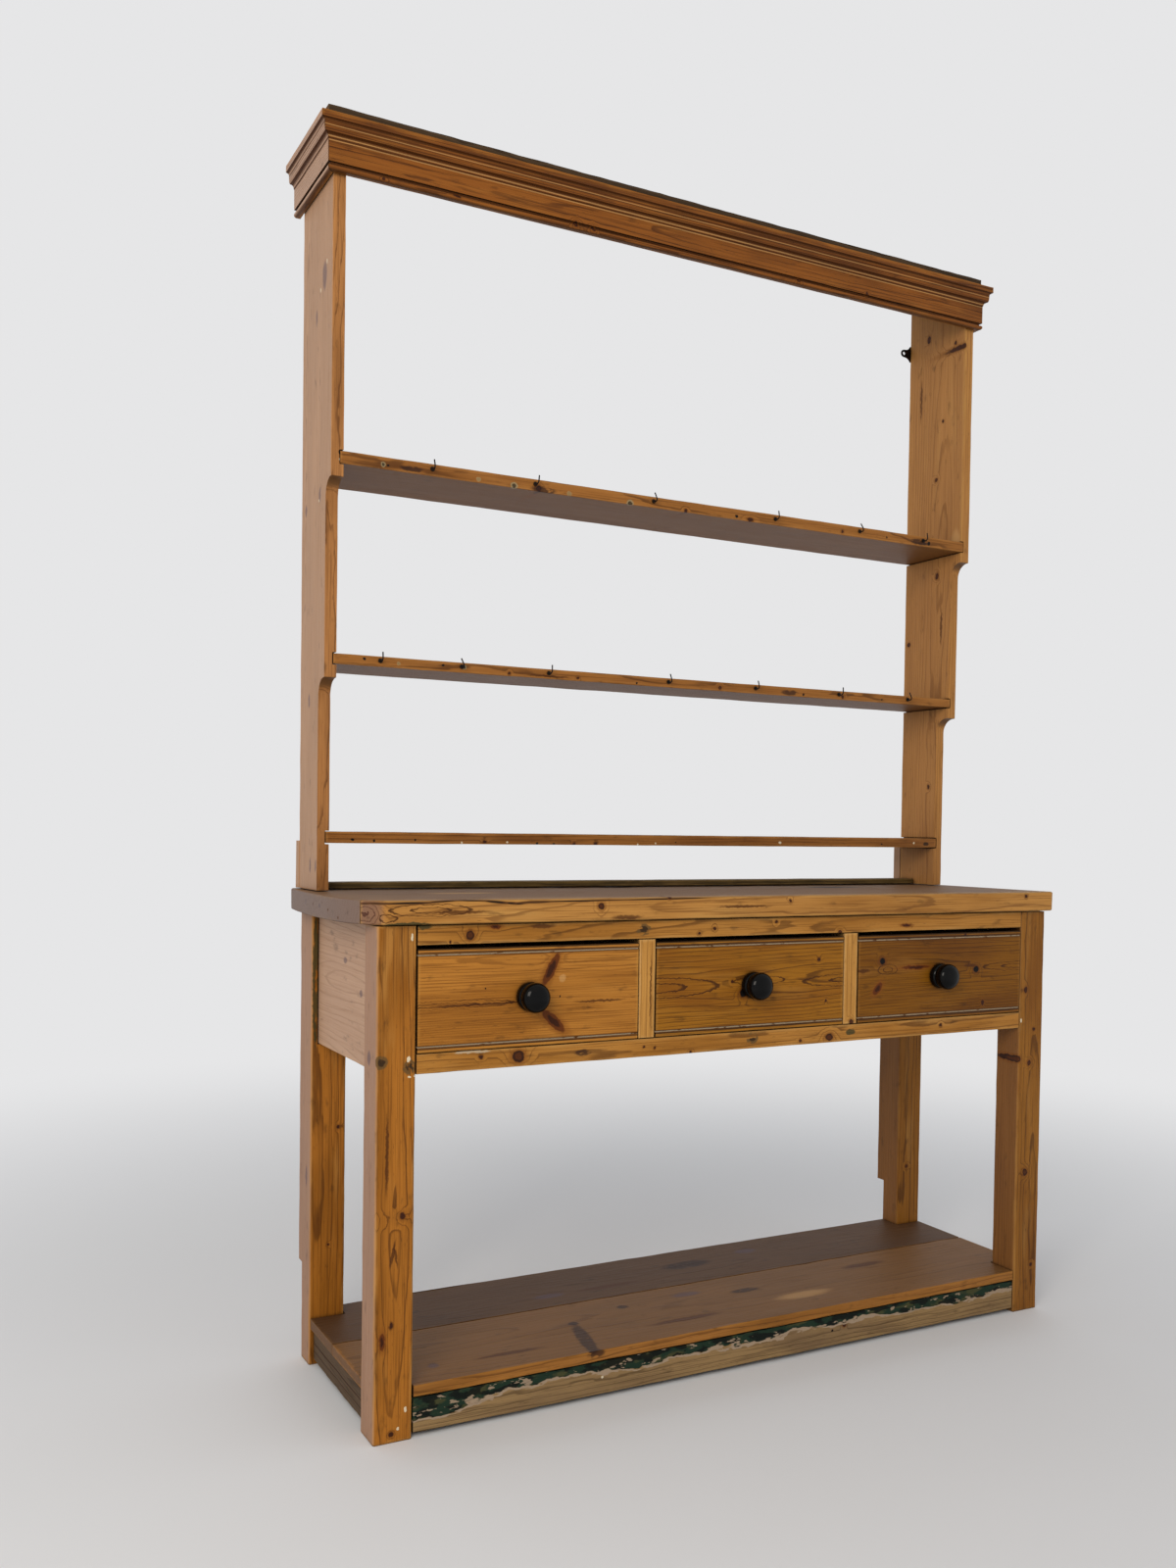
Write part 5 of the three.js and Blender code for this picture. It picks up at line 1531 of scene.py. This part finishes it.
@dataclass
class HangingPlate:
    """The iron plate behind the right stile, with an eye for a wall screw."""

    node: str = "hanging_plate"
    arris: float = 0.5
    sharp: float = 40.0         # degrees from which an edge is an arris, and stays sharp

    def build(self) -> None:
        """Rounds the plate's edges and blackens it."""
        piece = Bench.copy_of(self.node, self.node + "_forged")
        Bench.apply(piece, "BEVEL", width=self.arris * MM, segments=Bench.SEGMENTS, limit_method="ANGLE",
                    angle_limit=math.radians(self.sharp))
        Bench.smooth(piece, self.sharp)
        piece.data.materials.append(BLACK_IRON.build("plate_iron"))
        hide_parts(self.node)
        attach(piece, CARCASS)
        log.info("hanging plate: forged")


@dataclass
class Studio:
    """A pale floor and soft light, mostly from a window at the front left."""

    floor_span: float = 40000.0
    floor_tone: str = "#e2e2e1"
    floor_roughness: float = 0.7
    floor_clouds: float = 1.3   # pale clouds in a metre of floor
    cloud_span: tuple[float, float] = (0.3, 0.7)
    cloud_share: float = 0.25
    backdrop: str = "#e6e6e7"
    fade: tuple[float, float] = (900.0, 3400.0)    # where the floor starts and ends to melt into the backdrop
    sky: float = 0.66           # light from all round
    sky_tone: str = "#f4f6fb"
    window_tone: str = "#fff6ea"
    window_power: float = 72.0
    window_span: float = 1700.0
    window_place: tuple[float, float, float] = (-2700.0, -2700.0, 2300.0)
    target: tuple[float, float, float] = (0.0, 0.0, 950.0)

    def floor(self) -> None:
        """Lays the floor, which melts into the backdrop far from the dresser."""
        bpy.ops.object.select_all(action="DESELECT")
        bpy.ops.mesh.primitive_plane_add(size=self.floor_span * MM, location=(0.0, 0.0, 0.0))
        floor = bpy.context.object
        floor.name = "floor"
        graph = Graph(bpy.data.materials.new("floor"))
        place = graph.add("TexCoord").outputs["Object"]
        cloud = graph.add("TexNoise", {"Vector": place, "Scale": self.floor_clouds, "Detail": 4.0})
        start, end = self.cloud_span
        share = graph.add("MapRange", {
            "Value": cloud, "From Min": start, "From Max": end, "To Max": self.cloud_share,
        })
        tint = graph.add("MixRGB", {0: share, 1: colour(self.floor_tone), 2: colour(self.backdrop)})
        near = graph.add("BsdfPrincipled", {"Base Color": tint, "Roughness": self.floor_roughness})
        far = graph.add("Emission", {"Color": colour(self.backdrop), "Strength": 1.0})
        away = graph.add("VectorMath", {0: place}, operation="LENGTH").outputs["Value"]
        start, end = self.fade
        melted = graph.add("MapRange", {"Value": away, "From Min": start * MM, "From Max": end * MM},
                           interpolation_type="SMOOTHSTEP")
        mixed = graph.add("MixShader", {0: melted, 1: near, 2: far})
        graph.add("OutputMaterial", {"Surface": mixed})
        floor.data.materials.append(graph.owner)

    def world(self) -> None:
        """Lights the scene from all round, and shows the pale backdrop to the camera."""
        world = bpy.data.worlds.new("room")
        bpy.context.scene.world = world
        graph = Graph(world)
        light = graph.add("Background", {"Color": colour(self.sky_tone), "Strength": self.sky})
        shown = graph.add("Background", {"Color": colour(self.backdrop), "Strength": 1.0})
        path = graph.add("LightPath")
        first = graph.add("Math", {0: path.outputs["Is Camera Ray"], 1: path.outputs["Is Glossy Ray"]},
                          operation="MAXIMUM")
        seen = graph.add("Math", {0: first, 1: path.outputs["Is Transmission Ray"]}, operation="MAXIMUM")
        mixed = graph.add("MixShader", {0: seen, 1: light, 2: shown})
        graph.add("OutputWorld", {"Surface": mixed})

    def window(self) -> None:
        """Hangs the large soft light at the front left."""
        data = bpy.data.lights.new("window", "AREA")
        data.energy = self.window_power
        data.size = self.window_span * MM
        data.color = colour(self.window_tone)[:3]
        lamp = bpy.data.objects.new("window", data)
        place = Vector(self.window_place) * MM
        lamp.location = place
        lamp.rotation_euler = (Vector(self.target) * MM - place).to_track_quat("-Z", "Y").to_euler()
        bpy.context.scene.collection.objects.link(lamp)

    def build(self) -> None:
        """Sets up floor, world and window."""
        bpy.context.scene.view_settings.view_transform = "Standard"
        self.floor()
        self.world()
        self.window()
        log.info("studio: floor, world and window")


def drawers() -> tuple[Drawer, ...]:
    """Describes the three drawers.

    Returns:
        The drawers, from left to right.
    """
    left = Drawer("drawer_left", DRAWER_LEFT_PINE, Cut(Grain.X, (30, 60), 3.4, (0.2, 0.3), 12, 12, 2), (
        *Kind.SPIKE_KNOT.at((562.5, 989, 8, 3.6, -62), (565, 1042, 8.5, 3.2, 42)),
        *Kind.STREAK.at((490, 1025, 2, 42), (612, 1021, 2, 22)), *Kind.GRAIN_LOOP.at((455, 1026, 7, 17)),
        *Kind.PALE.at((574, 998, 6)), *Kind.HOLE.at((571, 1017, 1.4), (496, 1009, 1.2)),
    ))
    middle = Drawer("drawer_middle", DRAWER_MIDDLE_SHADED_PINE,
                    Cut(Grain.X, (46, 4), 5, (1.6, 0.5), 24, 12.6, 2.6), (
        *Kind.DEAD_KNOT.at((759, 1013, 7.8)), *Kind.SMALL_KNOT.at((747.6, 1001.7, 2.8), (836, 979, 3.4)),
        *Kind.GRAIN_LOOP.at((668, 1009, 18, 7.4), (775, 1000.5, 8, 7), (872, 999, 12, 10)),
        *Kind.SMALL_KNOT.at((843, 1021, 2)),
    ))
    right = Drawer("drawer_right", DRAWER_RIGHT_SHADED_PINE,
                   Cut(Grain.X, (46, 16), 4.4, (0.8, 0.4), 24, 13.1, 2.6), (
        *Kind.DEAD_KNOT.at((900.6, 981, 6.6), (996, 989, 5.8, 1.2)),
        *Kind.SPIKE_KNOT.at((895.7, 1009, 7, 2, -48)), *Kind.SMALL_KNOT.at((1002.7, 1022.8, 3.6, 1.4, 90)),
        *Kind.GRAIN_LOOP.at((906, 989.5, 10, 2.4)), *Kind.STREAK.at((881, 991, 4, 3.6)),
        *Kind.SPIKE_KNOT.at((935, 987, 3.6, 9.5)), *Kind.GRAIN_LOOP.at((1040, 985, 9, 11)),
        *Kind.SMALL_KNOT.at((985, 955, 4)), *Kind.STREAK.at((990, 985, 3, 5)),
    ))
    return (left, middle, right)


def main() -> None:
    """Builds the dresser, sub-assembly by sub-assembly."""
    logging.basicConfig(level=logging.INFO, format="%(message)s")
    PORTRAIT.build()
    Studio().build()
    for group in (Legs(), DrawerFrame(), BaseTop(), PotBoard(), PotRails(), PlateRack(), Cornice(), Cap(),
                  TieRail()):
        group.build()
    for drawer in drawers():
        drawer.build()
    HiddenJoinery({
        "back_board": Grain.X,
        "runner_left": Grain.Y, "runner_right": Grain.Y,
        "runner_middle_left": Grain.Y, "runner_middle_right": Grain.Y,
        "drawer_stop_left": Grain.X, "drawer_stop_middle": Grain.X, "drawer_stop_right": Grain.X,
    }).build()
    CupHooks().build()
    HangingPlate().build()


if __name__ == "__main__":
    main()
